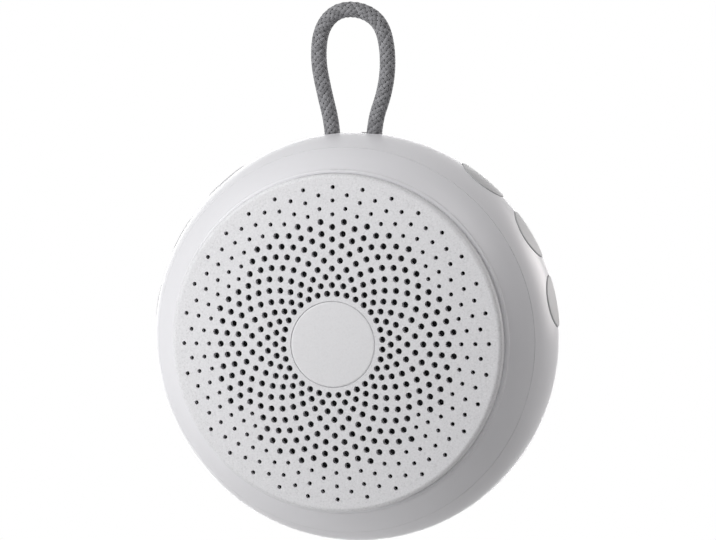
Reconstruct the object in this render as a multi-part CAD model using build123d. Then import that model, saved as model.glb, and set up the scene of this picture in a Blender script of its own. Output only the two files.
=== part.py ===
from build123d import *
from math import cos, pi, radians, sin, sqrt, tan
import os

# Portable white noise sound machine: a thick round puck with a domed speaker grille, six push
# buttons on its rim and a rope loop that it hangs by.  All sizes are in millimetres.
#
# Every piece is built about the body's own axis, which is Y.  The grille faces -Y, X is to the
# right and Z is up; Y = 0 is the mid-plane, where the body is widest.  An angle round the rim is
# counted clockwise from the top, seen from the front.  write() then lowers each piece by
# hang_height, so that the origin is the hang point inside the top of the rope loop.

# ---------------------------------------------------------------- driving dimensions: casing
body_r = 46.0  # radius at the widest, on the mid-plane
bezel_width = 8.6  # from the edge of the grille plate out to the widest radius
front_round = 21.6  # section radius of the bezel and of the rim's front half
back_round = 20.0  # section radius of the rim's back half, which runs into the flat back
wall = 2.2  # casing wall
seam_drop = 3.0  # from the back of the grille's seat to where the front shell meets the rear shell
seam_groove = 0.12  # width and depth of the shadow line at the seam
tongue_length = 1.5  # tongue of the rear shell inside the front shell
tongue_thick = 1.1
tongue_fit = 0.1  # radial and end clearance of the tongue
shelf_length = 1.4  # thickened band that carries the tongue

# ---------------------------------------------------------------- driving dimensions: grille
grille_rise = 5.7  # from the bezel's lip to the crown of the dome
grille_thick = 1.8
grille_gap = 0.05  # seam between the plate and the bezel's lip
grille_edge = 1.2  # rounding of the plate's outer edge
grille_inner_edge = 0.5
dome_r = 238.0  # radius of the domed face
seat_drop = 1.6  # the plate's skirt goes this far below the lip
lip_width = 0.9  # raised bead of the bezel round the plate
lip_rise = 0.1
lip_edge = 0.6
badge_r = 9.4
badge_thick = 1.0
badge_gap = 0.15  # groove round the badge
badge_edge = 0.2
stake_count = 6  # studs under the plate's skirt, melted over behind the seat
stake_r = 0.8
stake_fit = 0.03
stake_head_r = 1.2
stake_head_thick = 0.6
holes_per_ring = 32
first_ring_r = 11.2
# steps from each ring of holes to the next, going outwards
ring_steps = (1.82, 1.82, 1.82, 1.82, 1.7, 1.5, 1.37, 1.27, 1.42, 1.2, 1.58, 1.31, 1.71, 1.27, 1.65)
wide_hole = 1.4  # bore of the holes in front of the speaker
fine_hole = 0.95  # bore of the outer holes
wide_reach = 1.0  # rings of wide holes go this far outside the speaker's flange
# fine holes among the wide ones: wide rings counted inwards from the outermost, then places
# counted from the top on each side
fine_places = {0: (4, 5, 11), 1: (5, 12), 2: (11,)}
cloth_thick = 0.3
cloth_gap = 0.1  # between the plate and the cloth

# ---------------------------------------------------------------- driving dimensions: deck and speaker
deck_clear = 0.25  # between the cloth and the deck
deck_thick = 1.6
deck_step_gap = 0.5  # between the raised deck and the plate's skirt
deck_overlap = 3.4  # of the deck over the speaker's flange
sheet = 1.0  # sheet steel of the basket
gasket_thick = 1.0
gasket_width = 2.0
basket_flange = 4.4  # width of the basket's flange
basket_waist_r = 16.0
waist_depth = 8.6  # from the flange's front to the spider's ledge
ledge_width = 2.8
basket_depth = 10.3  # from the flange's front to the back of the basket
window_count = 6
window_width = 8.5
window_inset = 1.1
cone_depth = 7.2
cone_thick = 0.5  # along the axis
cone_land = 1.4  # flat rim of the cone, glued to the surround
surround_seat = 0.4  # of the surround's roll over the basket's flange
roll_r = 1.5  # section radius of the surround's half-round
surround_thick = 0.35
coil_r = 6.35  # bore of the voice coil's former
former_thick = 0.25
former_length = 8.0
winding_thick = 0.5
winding_length = 4.0
coil_gap = 0.35  # free gap on each side of the voice coil
dust_cap_r = 8.4
dust_cap_rise = 2.2
spider_waves = 4
spider_thick = 0.3
spider_wave = 0.45
top_plate_thick = 2.0
top_plate_r = 15.0
magnet_r = 16.0
magnet_bore_r = 9.0
magnet_thick = 5.5
yoke_thick = 2.2
ear_r = 3.2  # speaker's fixing ears
ear_offset = 3.6  # of an ear's centre outside the flange
ear_gap = 0.1  # between an ear and the riser of the deck
ear_angles = (0, 90, 180, 270)
ear_boss_r = 2.7  # boss of the deck in front of an ear
terminal_half = 4.0  # half width of the terminal strip
terminal_depth = 2.6
terminal_gap = 0.3
lug_width = 0.6
lug_depth = 1.6

# ---------------------------------------------------------------- driving dimensions: buttons
button_angles = {
    "power": 40,
    "volume_up": 60,
    "volume_down": 80,
    "play": -40,
    "next_sound": -60,
    "timer": -80,
}
button_y = 1.0  # the buttons' centres lie this far behind the mid-plane
button_r = 5.8
button_fit = 0.15  # radial clearance in the casing's hole
button_proud = 0.2  # face of a button above the rim, whose roundness it follows
button_edge = 0.3
button_travel = 0.6
button_rest_gap = 0.05
cap_flange_width = 1.0
cap_flange_thick = 1.0
cap_flange_fit = 0.3
stem_r = 1.5
stem_length = 2.3

# ---------------------------------------------------------------- driving dimensions: switches and board
plunger_r = 1.0
plunger_stand = 1.6  # plunger outside the switch, at rest
plunger_fit = 0.05
collar_r = 1.45
collar_thick = 0.8
collar_gap = 0.1
switch_face = 0.5  # front wall of a switch
switch_width = 6.0
switch_height = 4.0
switch_depth = 4.2
switch_end_gap = 0.3  # left behind the collar when the button is fully in
board_margin = 0.55  # of the board outside the switches
board_bore_gap = 2.5  # between the magnet and the board
board_thick = 1.6
board_tab_half = 7.0  # half width of the tab that carries the USB socket
board_tab_gap = 1.2  # between the tab and the casing
post_relief = 0.4  # board's clearance round the casing posts

# ---------------------------------------------------------------- driving dimensions: fasteners
case_screw_angles = (20, 130, 230, 340)
case_post_gap = 1.3  # between a post and the tongue at the seam
case_post_r = 3.5
case_boss_r = 3.25
case_joint_y = -4.0  # where the rear posts meet the front bosses
case_post_floor = 2.4
case_head_bore = 2.3
board_screw_angles = (60, 120, 240, 300)
board_screw_inset = 19.0  # of the board's screws from the widest radius
board_boss_r = 2.5
screw_r = 1.0
screw_head_r = 2.0
screw_head_thick = 1.5
screw_fit = 0.02  # a screw in the boss that it is driven into
screw_clear = 0.15  # a screw in the piece that it clamps
case_thread = 7.0  # length of screw in its boss
board_thread = 6.0
speaker_thread = 2.2
pilot_spare = 0.4  # boss bores are deeper than the screws

# ---------------------------------------------------------------- driving dimensions: power and wiring
battery_side_gap = 9.0  # between the cell's sides and the edge of the casing's flat back
battery_end_gap = 2.0
battery_thick = 7.5
battery_edge = 1.6
foam_thick = 1.2
foam_inset = 5.0
rail_gap = 0.4
rail_thick = 1.2
rail_height = 5.0
rail_length = 24.0
plug_width = 4.6
plug_depth = 4.2
plug_height = 3.8
battery_lead_reach = 6.0  # from the end of the cell to its plug
speaker_plug_inset = 16.0  # of the speaker's plug from the widest radius
speaker_plug_angle = 310
wire_r = 0.5
wire_half_gap = 0.75
usb_width = 8.94
usb_height = 3.2
usb_length = 7.4
usb_shell = 0.3
usb_fit = 0.3
usb_sunk = 1.5  # mouth of the socket below the outside of the casing
usb_back = 1.0
tongue_plate = 0.7
tongue_half = 3.35
tongue_short = 0.9  # from the end of the tongue to the socket's mouth
light_angle = 165
light_pipe_r = 0.9
light_pipe_fit = 0.03
light_size = (2.0, 1.6, 1.6)
light_gap = 0.3

# ---------------------------------------------------------------- driving dimensions: chips
# sizes are: width round the board, height above it, depth towards the rim
sound_chip_angle = 90
sound_chip_size = (7.0, 1.2, 7.0)
sound_leg_count = 8
sound_leg_pitch = 0.8
amplifier_angle = 270
amplifier_size = (5.0, 1.4, 4.0)
amplifier_leg_count = 4
amplifier_leg_pitch = 1.25
leg_width = 0.4
leg_thick = 0.3
leg_reach = 1.0
charger_angle = 180
charger_size = (3.2, 0.9, 3.2)
coil_angle = 192
coil_offset = 6.0  # of the charger's coil outside the chips
coil_size = (4.2, 2.0, 4.2)
capacitor_angles = (145, 155)
capacitor_r = 2.0
capacitor_height = 4.2
capacitor_edge = 0.3
small_part_size = (1.0, 0.5, 0.6)
small_part_angles = (100, 105, 250, 255, 260, 280, 285)
small_part_swing = 3  # degrees from a button to the small parts behind its switch
small_part_gap = 2.4  # between the switches and the row of small parts
chip_row_gap = 0.672  # between the row of small parts and the sound chip's legs
chip_edge = 0.15
small_edge = 0.05

# ---------------------------------------------------------------- driving dimensions: foot and rope
foot_inset = 1.5  # from the edge of the flat back
foot_width = 5.0
foot_fit = 0.1
foot_sunk = 0.7
foot_proud = 0.8
foot_edge = 0.3
rope_r = 1.8
rope_clear = 0.35  # round the rope in the casing's holes
rope_hole_edge = 0.5
stop_wall = 1.0
stop_length = 4.0
stop_end = 0.4  # of a stop past the end of the rope
stop_gap = 0.1  # between a stop and the casing
rope_fit = 0.02
rope_block_half_x = 8.0
rope_block_half_y = 4.5

# The rope's route, from its left-hand end inside the rim, round the loop and back in: X, and
# height above the top of the rim.  Its corners are rounded by the largest arcs that fit.
rope_route = [
    (-4.5, -8.0),
    (-4.5, 0.5),
    (-6.7, 9.5),
    (-7.9, 17.5),
    (-7.5, 24.0),
    (-3.4, 27.9),
    (2.3, 27.9),
    (7.0, 24.8),
    (8.0, 18.0),
    (7.0, 10.0),
    (4.5, 1.0),
    (4.5, -8.0),
]

# ---------------------------------------------------------------- sizes that follow from those
front_mid_r = body_r - front_round
back_mid_r = body_r - back_round
hang_height = body_r + max(height for _, height in rope_route) - rope_r
back_y = back_round  # flat back of the casing
inner_back_y = back_y - wall
reach = 2 * body_r  # longer than anything that it cuts


def rim_r(y, inset=0.0):
    """Radius of the casing's outside at a place along the axis, or of a face inset from it."""
    section, middle = (front_round, front_mid_r) if y < 0 else (back_round, back_mid_r)
    return middle + sqrt((section - inset) ** 2 - y**2)


# grille
grille_r = body_r - bezel_width
lip_r = grille_r + grille_gap
lip_y = -sqrt(front_round**2 - (lip_r - front_mid_r) ** 2)
seat_y = lip_y + seat_drop
crown_y = lip_y - grille_rise
dome_centre_y = crown_y + dome_r
skirt_r = grille_r - grille_thick
stake_place_r = grille_r - grille_thick / 2


def dome_y(r, depth=0.0):
    """Y of the domed face, or of a face parallel to it and depth behind it, at radius r."""
    return dome_centre_y - sqrt((dome_r - depth) ** 2 - r**2)


# deck, seam and speaker
deck_step_r = skirt_r - deck_step_gap
deck_y = dome_y(deck_step_r, grille_thick + cloth_gap + cloth_thick) + deck_clear
deck_back_y = deck_y + deck_thick
seat_back_y = seat_y + deck_thick
seam_y = seat_back_y + seam_drop
tongue_outer_r = rim_r(seam_y, wall) + tongue_thick / 2
tongue_inner_r = tongue_outer_r - tongue_thick
case_screw_place_r = tongue_inner_r - case_post_r - case_post_gap
riser_r = deck_step_r - deck_thick
speaker_r = riser_r - ear_gap - ear_r - ear_offset  # radius of the speaker's flange
deck_opening_r = speaker_r - deck_overlap
speaker_y = deck_back_y + gasket_thick  # front face of the speaker's flange
basket_mouth_r = speaker_r - basket_flange
ledge_r = basket_waist_r - ledge_width
roll_outer_r = basket_mouth_r + surround_seat
cone_r = roll_outer_r - 2 * roll_r
neck_r = coil_r + former_thick  # where the cone meets the former
winding_r = neck_r + winding_thick
ear_place_r = speaker_r + ear_offset
magnet_y = speaker_y + basket_depth + top_plate_thick
yoke_y = magnet_y + magnet_thick
terminal_u = basket_mouth_r + sheet + terminal_gap + terminal_depth / 2

# buttons, switches and board; u is a distance from the body's axis along a button's own axis
button_hole_r = button_r + button_fit
pocket_r = button_r + cap_flange_width + cap_flange_fit
seat_u = sqrt((body_r - wall) ** 2 - button_hole_r**2)  # flat inside the rim that stops the flange
flange_u = seat_u - button_rest_gap - cap_flange_thick
stem_u = flange_u - stem_length
switch_u = stem_u - plunger_stand  # front face of the switches
switch_back_u = switch_u - switch_depth
board_y = button_y + switch_height / 2  # front face of the board
board_back_y = board_y + board_thick
board_r = switch_u + board_margin
board_bore_r = magnet_r + board_bore_gap
board_screw_place_r = body_r - board_screw_inset
speaker_plug_r = body_r - speaker_plug_inset
board_tab_u = rim_r(board_back_y, wall) - board_tab_gap
small_part_ring_r = switch_back_u - small_part_gap
chip_row_r = small_part_ring_r - small_part_size[2] / 2 - chip_row_gap  # the chips' outer edge
chip_ring_r = chip_row_r - leg_reach - sound_chip_size[2] / 2

# power, light, foot and rope
battery_width = 2 * (back_mid_r - battery_side_gap)
battery_height = 2 * (back_mid_r - battery_end_gap)
battery_back_y = inner_back_y - foam_thick
battery_y = battery_back_y - battery_thick
battery_plug_z = battery_height / 2 + battery_lead_reach
usb_y = board_back_y + usb_height / 2
usb_mouth_u = rim_r(usb_y) - usb_sunk
usb_back_u = usb_mouth_u - usb_length
light_y = board_y - light_size[1] / 2
light_pipe_u = board_r + light_gap
foot_outer_r = back_mid_r - foot_inset
foot_inner_r = foot_outer_r - foot_width
rope_x = rope_route[-1][0]
rope_hole_r = rope_r + rope_clear
stop_z = body_r + rope_route[0][1] - stop_end
rope_block_z = stop_z + stop_length + stop_gap


# ---------------------------------------------------------------- helpers
UPWARD = (Align.CENTER, Align.CENTER, Align.MIN)
DOWNWARD = (Align.CENTER, Align.CENTER, Align.MAX)


def block(r0, r1, y0, y1):
    """Rectangle of the section plane, between two radii and two places along the axis."""
    return Pos((r0 + r1) / 2, (y0 + y1) / 2) * Rectangle(r1 - r0, y1 - y0)


def outline(points):
    """Closed face of the section plane through the points."""
    return make_face(Polyline(*points, close=True))


def corner(section, r, y):
    """The corner of a section nearest to a point."""
    return section.vertices().sort_by_distance(Vector(r, y, 0))[0]


def turned(section):
    """Solid of revolution of a section about the body's axis."""
    return revolve(section, axis=Axis.Y)


def at_angle(angle, r):
    """X and Z of a point at an angle round the rim and a distance from the axis."""
    return r * sin(radians(angle)), r * cos(radians(angle))


def rod(angle, r, y0, y1, radius):
    """Cylinder along the body's axis direction from y0 to y1, centred at an angle and a radius."""
    x, z = at_angle(angle, r)
    return Plane(origin=(x, y0, z), z_dir=(0, 1, 0)) * Cylinder(radius, y1 - y0, align=UPWARD)


def rods(angles, r, y0, y1, radius):
    """A list of equal rods, one at each angle."""
    return [rod(angle, r, y0, y1, radius) for angle in angles]


def rim_plane(angle, y):
    """Plane on the axis whose Z points out at an angle, and whose Y is the body's Y."""
    a = radians(angle)
    return Plane(origin=(0, y, 0), x_dir=(cos(a), 0, -sin(a)), z_dir=(sin(a), 0, cos(a)))


def brick(x0, x1, y0, y1, z0, z1):
    """Box between two corners."""
    middle = Pos((x0 + x1) / 2, (y0 + y1) / 2, (z0 + z1) / 2)
    return middle * Box(x1 - x0, y1 - y0, z1 - z0)


def casing_section(inset):
    """Filled section of the casing, with its outside inset."""
    front = Pos(front_mid_r, 0) * Circle(front_round - inset) & block(0, reach, -reach, 0)
    back = Pos(back_mid_r, 0) * Circle(back_round - inset) & block(0, reach, 0, reach)
    front += block(0, front_mid_r, inset - front_round, 0)
    back += block(0, back_mid_r, 0, back_round - inset)
    return front + back


def domed_section(r, top, bottom):
    """Section of a disc whose faces are parallel to the dome, top and bottom behind it."""
    upper = ThreePointArc((0, dome_y(0, top)), (r / 2, dome_y(r / 2, top)), (r, dome_y(r, top)))
    lower = ThreePointArc((r, dome_y(r, bottom)), (r / 2, dome_y(r / 2, bottom)), (0, dome_y(0, bottom)))
    return make_face([upper, Line(upper @ 1, lower @ 0), lower, Line(lower @ 1, upper @ 0)])


def screw(length):
    """Pan-head screw with a cross recess; its head sits on the XY plane and its shank is below."""
    head = Cylinder(screw_head_r, screw_head_thick, align=UPWARD)
    head = fillet(head.edges().sort_by(Axis.Z)[-1], screw_head_thick / 3)
    shank = Cylinder(screw_r, length, align=DOWNWARD)
    slot = Box(screw_head_r, screw_head_r / 4, screw_head_thick)
    cross = Pos(0, 0, screw_head_thick) * (slot + Rot(0, 0, 90) * slot)
    return head + shank - cross


def route_radii(points):
    """Largest arc at each corner of a route: 0.45 of its shorter run."""
    radii = []
    for before, here, after in zip(points, points[1:], points[2:]):
        run_in = Vector(*here) - Vector(*before)
        run_out = Vector(*after) - Vector(*here)
        shorter = min(run_in.length, run_out.length)
        radii.append(0.45 * shorter / tan(radians(run_in.get_angle(run_out) / 2)))
    return radii


def tube(name, points, radius):
    """Round cord along straight runs joined by tangent arcs; prints its length and its arcs."""
    radii = route_radii(points)
    path = FilletPolyline(*points, radius=radii)
    cord = sweep(Plane(origin=path @ 0, z_dir=path % 0) * Circle(radius), path=path)
    expected = path.length * pi * radius**2
    print(f"{name}: length {path.length:.2f}, volume {cord.volume:.2f} of {expected:.2f},", end=" ")
    print("arc radii", [round(r, 1) for r in radii])
    return cord


def write(name, *pieces):
    """Lower the pieces to the hang point and write them as one node."""
    solids = [solid for piece in pieces for solid in piece.solids()]
    lowered = [Pos(0, 0, -hang_height) * solid for solid in solids]
    node = lowered[0] if len(lowered) == 1 else Compound(children=lowered)
    node.label = name
    export_step(node, f"parts/{name}.step")


# ---------------------------------------------------------------- grille
stake_angles = [(n + 0.5) * 360 / stake_count for n in range(stake_count)]


def ring_radii():
    """Radius of each ring of holes that lies inside the plate's skirt."""
    radii = [first_ring_r]
    for step in ring_steps:
        radii.append(radii[-1] + step)
    return [r for r in radii if r + fine_hole / 2 < skirt_r - grille_inner_edge]


def hole_bore(inwards, place, half_step):
    """Bore of one hole: wide in front of the speaker, fine outside it and in four notches."""
    mirrored = holes_per_ring - place - (1 if half_step else 0)
    notches = fine_places.get(inwards, ())
    if inwards < 0 or place in notches or mirrored in notches:
        return fine_hole
    return wide_hole


def grille_holes():
    """All the drills for the grille: rings of equal count, every second one half a step round."""
    drills = []
    step = 360 / holes_per_ring
    radii = ring_radii()
    wide_rings = sum(r < speaker_r + wide_reach for r in radii)
    for ring, r in enumerate(radii):
        half_step = ring % 2 == 0
        for place in range(holes_per_ring):
            angle = (place + (0.5 if half_step else 0)) * step
            bore = hole_bore(wide_rings - 1 - ring, place, half_step)
            drills.append(rod(angle, r, crown_y - grille_thick, seat_y, bore / 2))
    return drills


def grille_plate():
    section = domed_section(grille_r, 0, grille_thick)
    section += block(skirt_r, grille_r, dome_y(grille_r), seat_y)
    section = fillet(corner(section, skirt_r, dome_y(skirt_r, grille_thick)), grille_inner_edge)
    section = fillet(corner(section, grille_r, dome_y(grille_r)), grille_edge)
    plate = turned(section) - turned(domed_section(badge_r + badge_gap, -badge_thick, badge_thick))
    plate -= grille_holes()
    plate += rods(stake_angles, stake_place_r, seat_y - grille_thick / 2, seat_back_y, stake_r)
    plate += rods(stake_angles, stake_place_r, seat_back_y, seat_back_y + stake_head_thick, stake_head_r)
    return plate


def badge_disc():
    section = domed_section(badge_r, 0, badge_thick)
    return turned(fillet(corner(section, badge_r, dome_y(badge_r)), badge_edge))


def dust_cloth():
    top = grille_thick + cloth_gap
    return turned(domed_section(skirt_r - grille_inner_edge - cloth_gap, top, top + cloth_thick))


# ---------------------------------------------------------------- casing
def bezel_band():
    """Wall of the front shell, with the bead round the grille and the step for the tongue."""
    band = casing_section(0) & block(deck_step_r, reach, lip_y, seam_y)
    band -= casing_section(wall) & block(0, reach, seat_back_y, 0)
    band -= block(0, lip_r, -reach, seat_y)
    lip = block(lip_r, lip_r + lip_width, lip_y - lip_rise, lip_y + wall / 2)
    band += fillet(corner(lip, lip_r + lip_width, lip_y - lip_rise), lip_edge)
    step_y = seam_y - tongue_length - tongue_fit
    band -= block(0, tongue_outer_r + tongue_fit, step_y, seam_y)
    return band - block(rim_r(seam_y) - seam_groove, reach, seam_y - seam_groove, seam_y)


def speaker_deck():
    """Ring that the speaker hangs from, stepped down to the seat of the grille's skirt."""
    deck = block(deck_opening_r, deck_step_r, deck_y, deck_back_y)
    deck += block(riser_r, deck_step_r, deck_y, seat_back_y)
    return deck + block(riser_r, lip_r, seat_y, seat_back_y)


def front_shell():
    shell = turned(bezel_band() + speaker_deck())
    trim = turned(casing_section(wall / 2) & block(0, reach, -reach, case_joint_y))
    root_y = seat_back_y - deck_thick / 2
    shell += [
        boss & trim
        for boss in rods(case_screw_angles, case_screw_place_r, root_y, case_joint_y, case_boss_r)
    ]
    shell += rods(ear_angles, ear_place_r, deck_back_y - deck_thick / 2, speaker_y, ear_boss_r)
    bore_y = case_joint_y - case_thread - pilot_spare
    bore_r = screw_r + screw_fit
    shell -= rods(case_screw_angles, case_screw_place_r, bore_y, case_joint_y, bore_r)
    shell -= rods(ear_angles, ear_place_r, speaker_y - speaker_thread, speaker_y, bore_r)
    shell -= rods(stake_angles, stake_place_r, seat_y - wall, seat_back_y + wall, stake_r + stake_fit)
    return shell


def rear_wall():
    """The rim and the back, with the tongue and the foot's groove, before anything is built on them."""
    section = (casing_section(0) - casing_section(wall)) & block(0, reach, seam_y, reach)
    shelf_y = seam_y + shelf_length
    section += block(tongue_inner_r, tongue_outer_r, seam_y - tongue_length, shelf_y)
    section += block(tongue_inner_r, reach, seam_y, shelf_y) & casing_section(wall / 2)
    return turned(section - block(foot_inner_r, foot_outer_r, back_y - foot_sunk, reach))


def rear_fittings():
    """Posts, bosses, rails and the rope block inside the rear shell, trimmed to its wall."""
    pieces = rods(case_screw_angles, case_screw_place_r, case_joint_y, back_y, case_post_r)
    pieces += rods(board_screw_angles, board_screw_place_r, board_back_y, back_y, board_boss_r)
    inner = battery_width / 2 + rail_gap
    half = rail_length / 2
    for x0, x1 in ((inner, inner + rail_thick), (-inner - rail_thick, -inner)):
        pieces.append(brick(x0, x1, inner_back_y - rail_height, back_y, -half, half))
    x, y = rope_block_half_x, rope_block_half_y
    pieces.append(brick(-x, x, -y, y, rope_block_z, body_r))
    trim = turned(casing_section(wall / 2))
    return [piece & trim for piece in pieces]


def button_cuts():
    """A round hole in the rim for each button, and the flat inside it that stops the flange."""
    for angle in button_angles.values():
        plane = rim_plane(angle, button_y) * Pos(0, 0, stem_u)
        yield plane * Cylinder(button_hole_r, body_r, align=UPWARD)
        yield plane * Cylinder(pocket_r, seat_u - stem_u, align=UPWARD)


def rope_cuts():
    """The rope's two holes, flared where they leave the rim."""
    for x in (-rope_x, rope_x):
        yield Pos(x, 0, rope_block_z - wall) * Cylinder(rope_hole_r, body_r, align=UPWARD)
        mouth_z = sqrt(body_r**2 - rope_x**2)
        flare = Cone(rope_hole_r, rope_hole_r + 2 * rope_hole_edge, 2 * rope_hole_edge)
        yield Pos(x, 0, mouth_z) * flare


def usb_profile(grow):
    """Rounded outline of the USB socket, grown on every side."""
    return SlotOverall(usb_width + 2 * grow, usb_height + 2 * grow)


def rear_shell():
    shell = rear_wall() + rear_fittings()
    floor_y = case_joint_y + case_post_floor
    shell -= rods(case_screw_angles, case_screw_place_r, floor_y, back_y + wall, case_head_bore)
    shell -= rods(
        case_screw_angles, case_screw_place_r, case_joint_y - wall, floor_y, screw_r + screw_clear
    )
    board_bore_end = board_back_y + board_thread + pilot_spare
    shell -= rods(
        board_screw_angles, board_screw_place_r, board_back_y, board_bore_end, screw_r + screw_fit
    )
    shell -= list(button_cuts())
    shell -= list(rope_cuts())
    shell -= rim_plane(180, usb_y) * Pos(0, 0, usb_back_u) * extrude(usb_profile(usb_fit), body_r)
    pipe = Cylinder(light_pipe_r + light_pipe_fit, body_r, align=UPWARD)
    shell -= rim_plane(light_angle, light_y) * Pos(0, 0, board_r) * pipe
    return shell


def back_foot():
    r0 = foot_inner_r + foot_fit
    r1 = foot_outer_r - foot_fit
    section = block(r0, r1, back_y - foot_sunk, back_y + foot_proud)
    for r in (r0, r1):
        section = fillet(corner(section, r, back_y + foot_proud), foot_edge)
    return turned(section)


# ---------------------------------------------------------------- speaker
def speaker_basket():
    y = speaker_y
    ledge_y = y + waist_depth
    section = block(basket_mouth_r, speaker_r, y, y + sheet)
    section += outline(
        [
            (basket_mouth_r, y),
            (basket_mouth_r + sheet, y),
            (basket_mouth_r + sheet, y + sheet),
            (basket_waist_r + sheet, ledge_y),
            (basket_waist_r, ledge_y),
            (basket_mouth_r, y + sheet),
        ]
    )
    section += block(ledge_r, basket_waist_r + sheet, ledge_y, ledge_y + sheet)
    section += block(ledge_r, ledge_r + sheet, ledge_y, y + basket_depth)
    section += block(magnet_bore_r, ledge_r + sheet, y + basket_depth - sheet, y + basket_depth)
    basket = turned(section)
    basket += rods(ear_angles, ear_place_r, y, y + sheet, ear_r)
    neck = ear_place_r - basket_mouth_r - sheet
    for angle in ear_angles:
        plane = rim_plane(angle, y + sheet / 2)
        basket += plane * Pos(0, 0, ear_place_r - neck / 2) * Box(2 * ear_r, sheet, neck)
    basket -= rods(ear_angles, ear_place_r, y - sheet, y + 2 * sheet, screw_r + screw_clear)
    window = Box(window_width, waist_depth - sheet - 2 * window_inset, basket_mouth_r)
    window_y = y + (waist_depth + sheet) / 2
    for n in range(window_count):
        plane = rim_plane((n + 0.5) * 360 / window_count, window_y)
        basket -= plane * Pos(0, 0, speaker_r) * window
    return basket


def speaker_gasket():
    return turned(block(speaker_r - gasket_width, speaker_r, deck_back_y, speaker_y))


def speaker_surround():
    y = speaker_y
    half = surround_thick / 2
    roll = Pos(cone_r + roll_r, y) * (Circle(roll_r + half) - Circle(roll_r - half))
    section = roll & block(0, speaker_r, y - 2 * roll_r, y)
    section += block(cone_r - cone_land, cone_r + half, y - surround_thick, y)
    section += block(roll_outer_r - half, speaker_r - gasket_width, y - surround_thick, y)
    return turned(section)


def cone_front_y(r):
    """Y of the front of the cone's slope at radius r."""
    land_r = cone_r - cone_land
    return speaker_y + (cone_depth - cone_thick) * (land_r - r) / (land_r - neck_r)


def speaker_cone():
    y = speaker_y
    land_r = cone_r - cone_land
    return turned(
        outline(
            [
                (land_r, y),
                (cone_r, y),
                (cone_r, y + cone_thick),
                (land_r, y + cone_thick),
                (neck_r, y + cone_depth),
                (neck_r, y + cone_depth - cone_thick),
            ]
        )
    )


def speaker_dust_cap():
    """Thin domed cap whose rim sits on the cone's slope."""
    radius = (dust_cap_r**2 + dust_cap_rise**2) / (2 * dust_cap_rise)
    crown = cone_front_y(dust_cap_r) - dust_cap_rise
    cap = Pos(0, crown + radius) * (Circle(radius) - Circle(radius - surround_thick))
    room = outline(
        [
            (0, crown - dust_cap_rise),
            (dust_cap_r, crown - dust_cap_rise),
            (dust_cap_r, cone_front_y(dust_cap_r)),
            (neck_r, cone_front_y(neck_r)),
            (0, cone_front_y(neck_r)),
        ]
    )
    return turned(cap & room)


def voice_coil_former():
    end = speaker_y + cone_depth - cone_thick + former_length
    return turned(block(coil_r, neck_r, end - former_length, end))


def voice_coil_winding():
    middle = speaker_y + basket_depth + top_plate_thick / 2
    half = winding_length / 2
    return turned(block(neck_r, winding_r, middle - half, middle + half))


def speaker_spider():
    """Corrugated disc between the voice coil and the basket's ledge."""
    y = speaker_y + waist_depth - spider_thick
    step = (ledge_r - neck_r) / (2 * spider_waves + 1)
    crests = [(neck_r + step * (n + 1), y - spider_wave * (n % 2)) for n in range(2 * spider_waves)]
    front = [(neck_r, y)] + crests + [(basket_waist_r - sheet, y)]
    return turned(outline(front + [(r, wave_y + spider_thick) for r, wave_y in reversed(front)]))


def speaker_top_plate():
    return turned(block(winding_r + coil_gap, top_plate_r, magnet_y - top_plate_thick, magnet_y))


def speaker_magnet():
    return turned(block(magnet_bore_r, magnet_r, magnet_y, yoke_y))


def speaker_yoke():
    """Back plate and pole of the magnet, in one piece."""
    section = block(0, top_plate_r, yoke_y, yoke_y + yoke_thick)
    return turned(section + block(0, coil_r - coil_gap, magnet_y - top_plate_thick, yoke_y))


def speaker_terminals():
    """Insulating strip riveted behind the flange, with two solder lugs that stand out of it."""
    plane = rim_plane(speaker_plug_angle, speaker_y + sheet) * Pos(0, 0, terminal_u)
    strip = plane * Pos(0, sheet / 2, 0) * Box(2 * terminal_half, sheet, terminal_depth)
    lug = Box(lug_width, 2 * sheet, lug_depth)
    return strip + [plane * Pos(x, sheet, 0) * lug for x in (-wire_half_gap, wire_half_gap)]


# ---------------------------------------------------------------- buttons and switches
def button_cap():
    """A button along its own axis Z, with the body's axis at Z = 0; its face follows the rim."""
    rim = Pos(front_mid_r, 0) * Rot(0, 0, 180) * Circle(front_round + button_proud)
    cap = Pos(0, 0, flange_u) * Cylinder(button_r, body_r, align=UPWARD)
    cap &= Pos(0, -button_y, 0) * turned(rim)
    cap = fillet(cap.edges().sort_by(Axis.Z)[-1], button_edge)
    cap += Pos(0, 0, flange_u) * Cylinder(button_r + cap_flange_width, cap_flange_thick, align=UPWARD)
    return cap + Pos(0, 0, stem_u) * Cylinder(stem_r, stem_length, align=UPWARD)


def plunger():
    """Plunger of a switch, along the same axis."""
    collar_top = switch_u - switch_face - collar_gap
    pin = Pos(0, 0, stem_u) * Cylinder(plunger_r, stem_u - collar_top, align=DOWNWARD)
    return pin + Pos(0, 0, collar_top) * Cylinder(collar_r, collar_thick, align=DOWNWARD)


def switch_body():
    """Housing of a switch, along the same axis, hollow where the plunger runs."""
    body = Pos(0, 0, switch_u) * Box(switch_width, switch_height, switch_depth, align=DOWNWARD)
    body -= Pos(0, 0, switch_u) * Cylinder(plunger_r + plunger_fit, 2 * switch_face, align=DOWNWARD)
    chamber = collar_gap + collar_thick + button_travel + switch_end_gap
    chamber_top = Pos(0, 0, switch_u - switch_face)
    return body - chamber_top * Cylinder(collar_r + plunger_fit, chamber, align=DOWNWARD)


def switch_bodies():
    return [rim_plane(angle, button_y) * switch_body() for angle in button_angles.values()]


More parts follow.
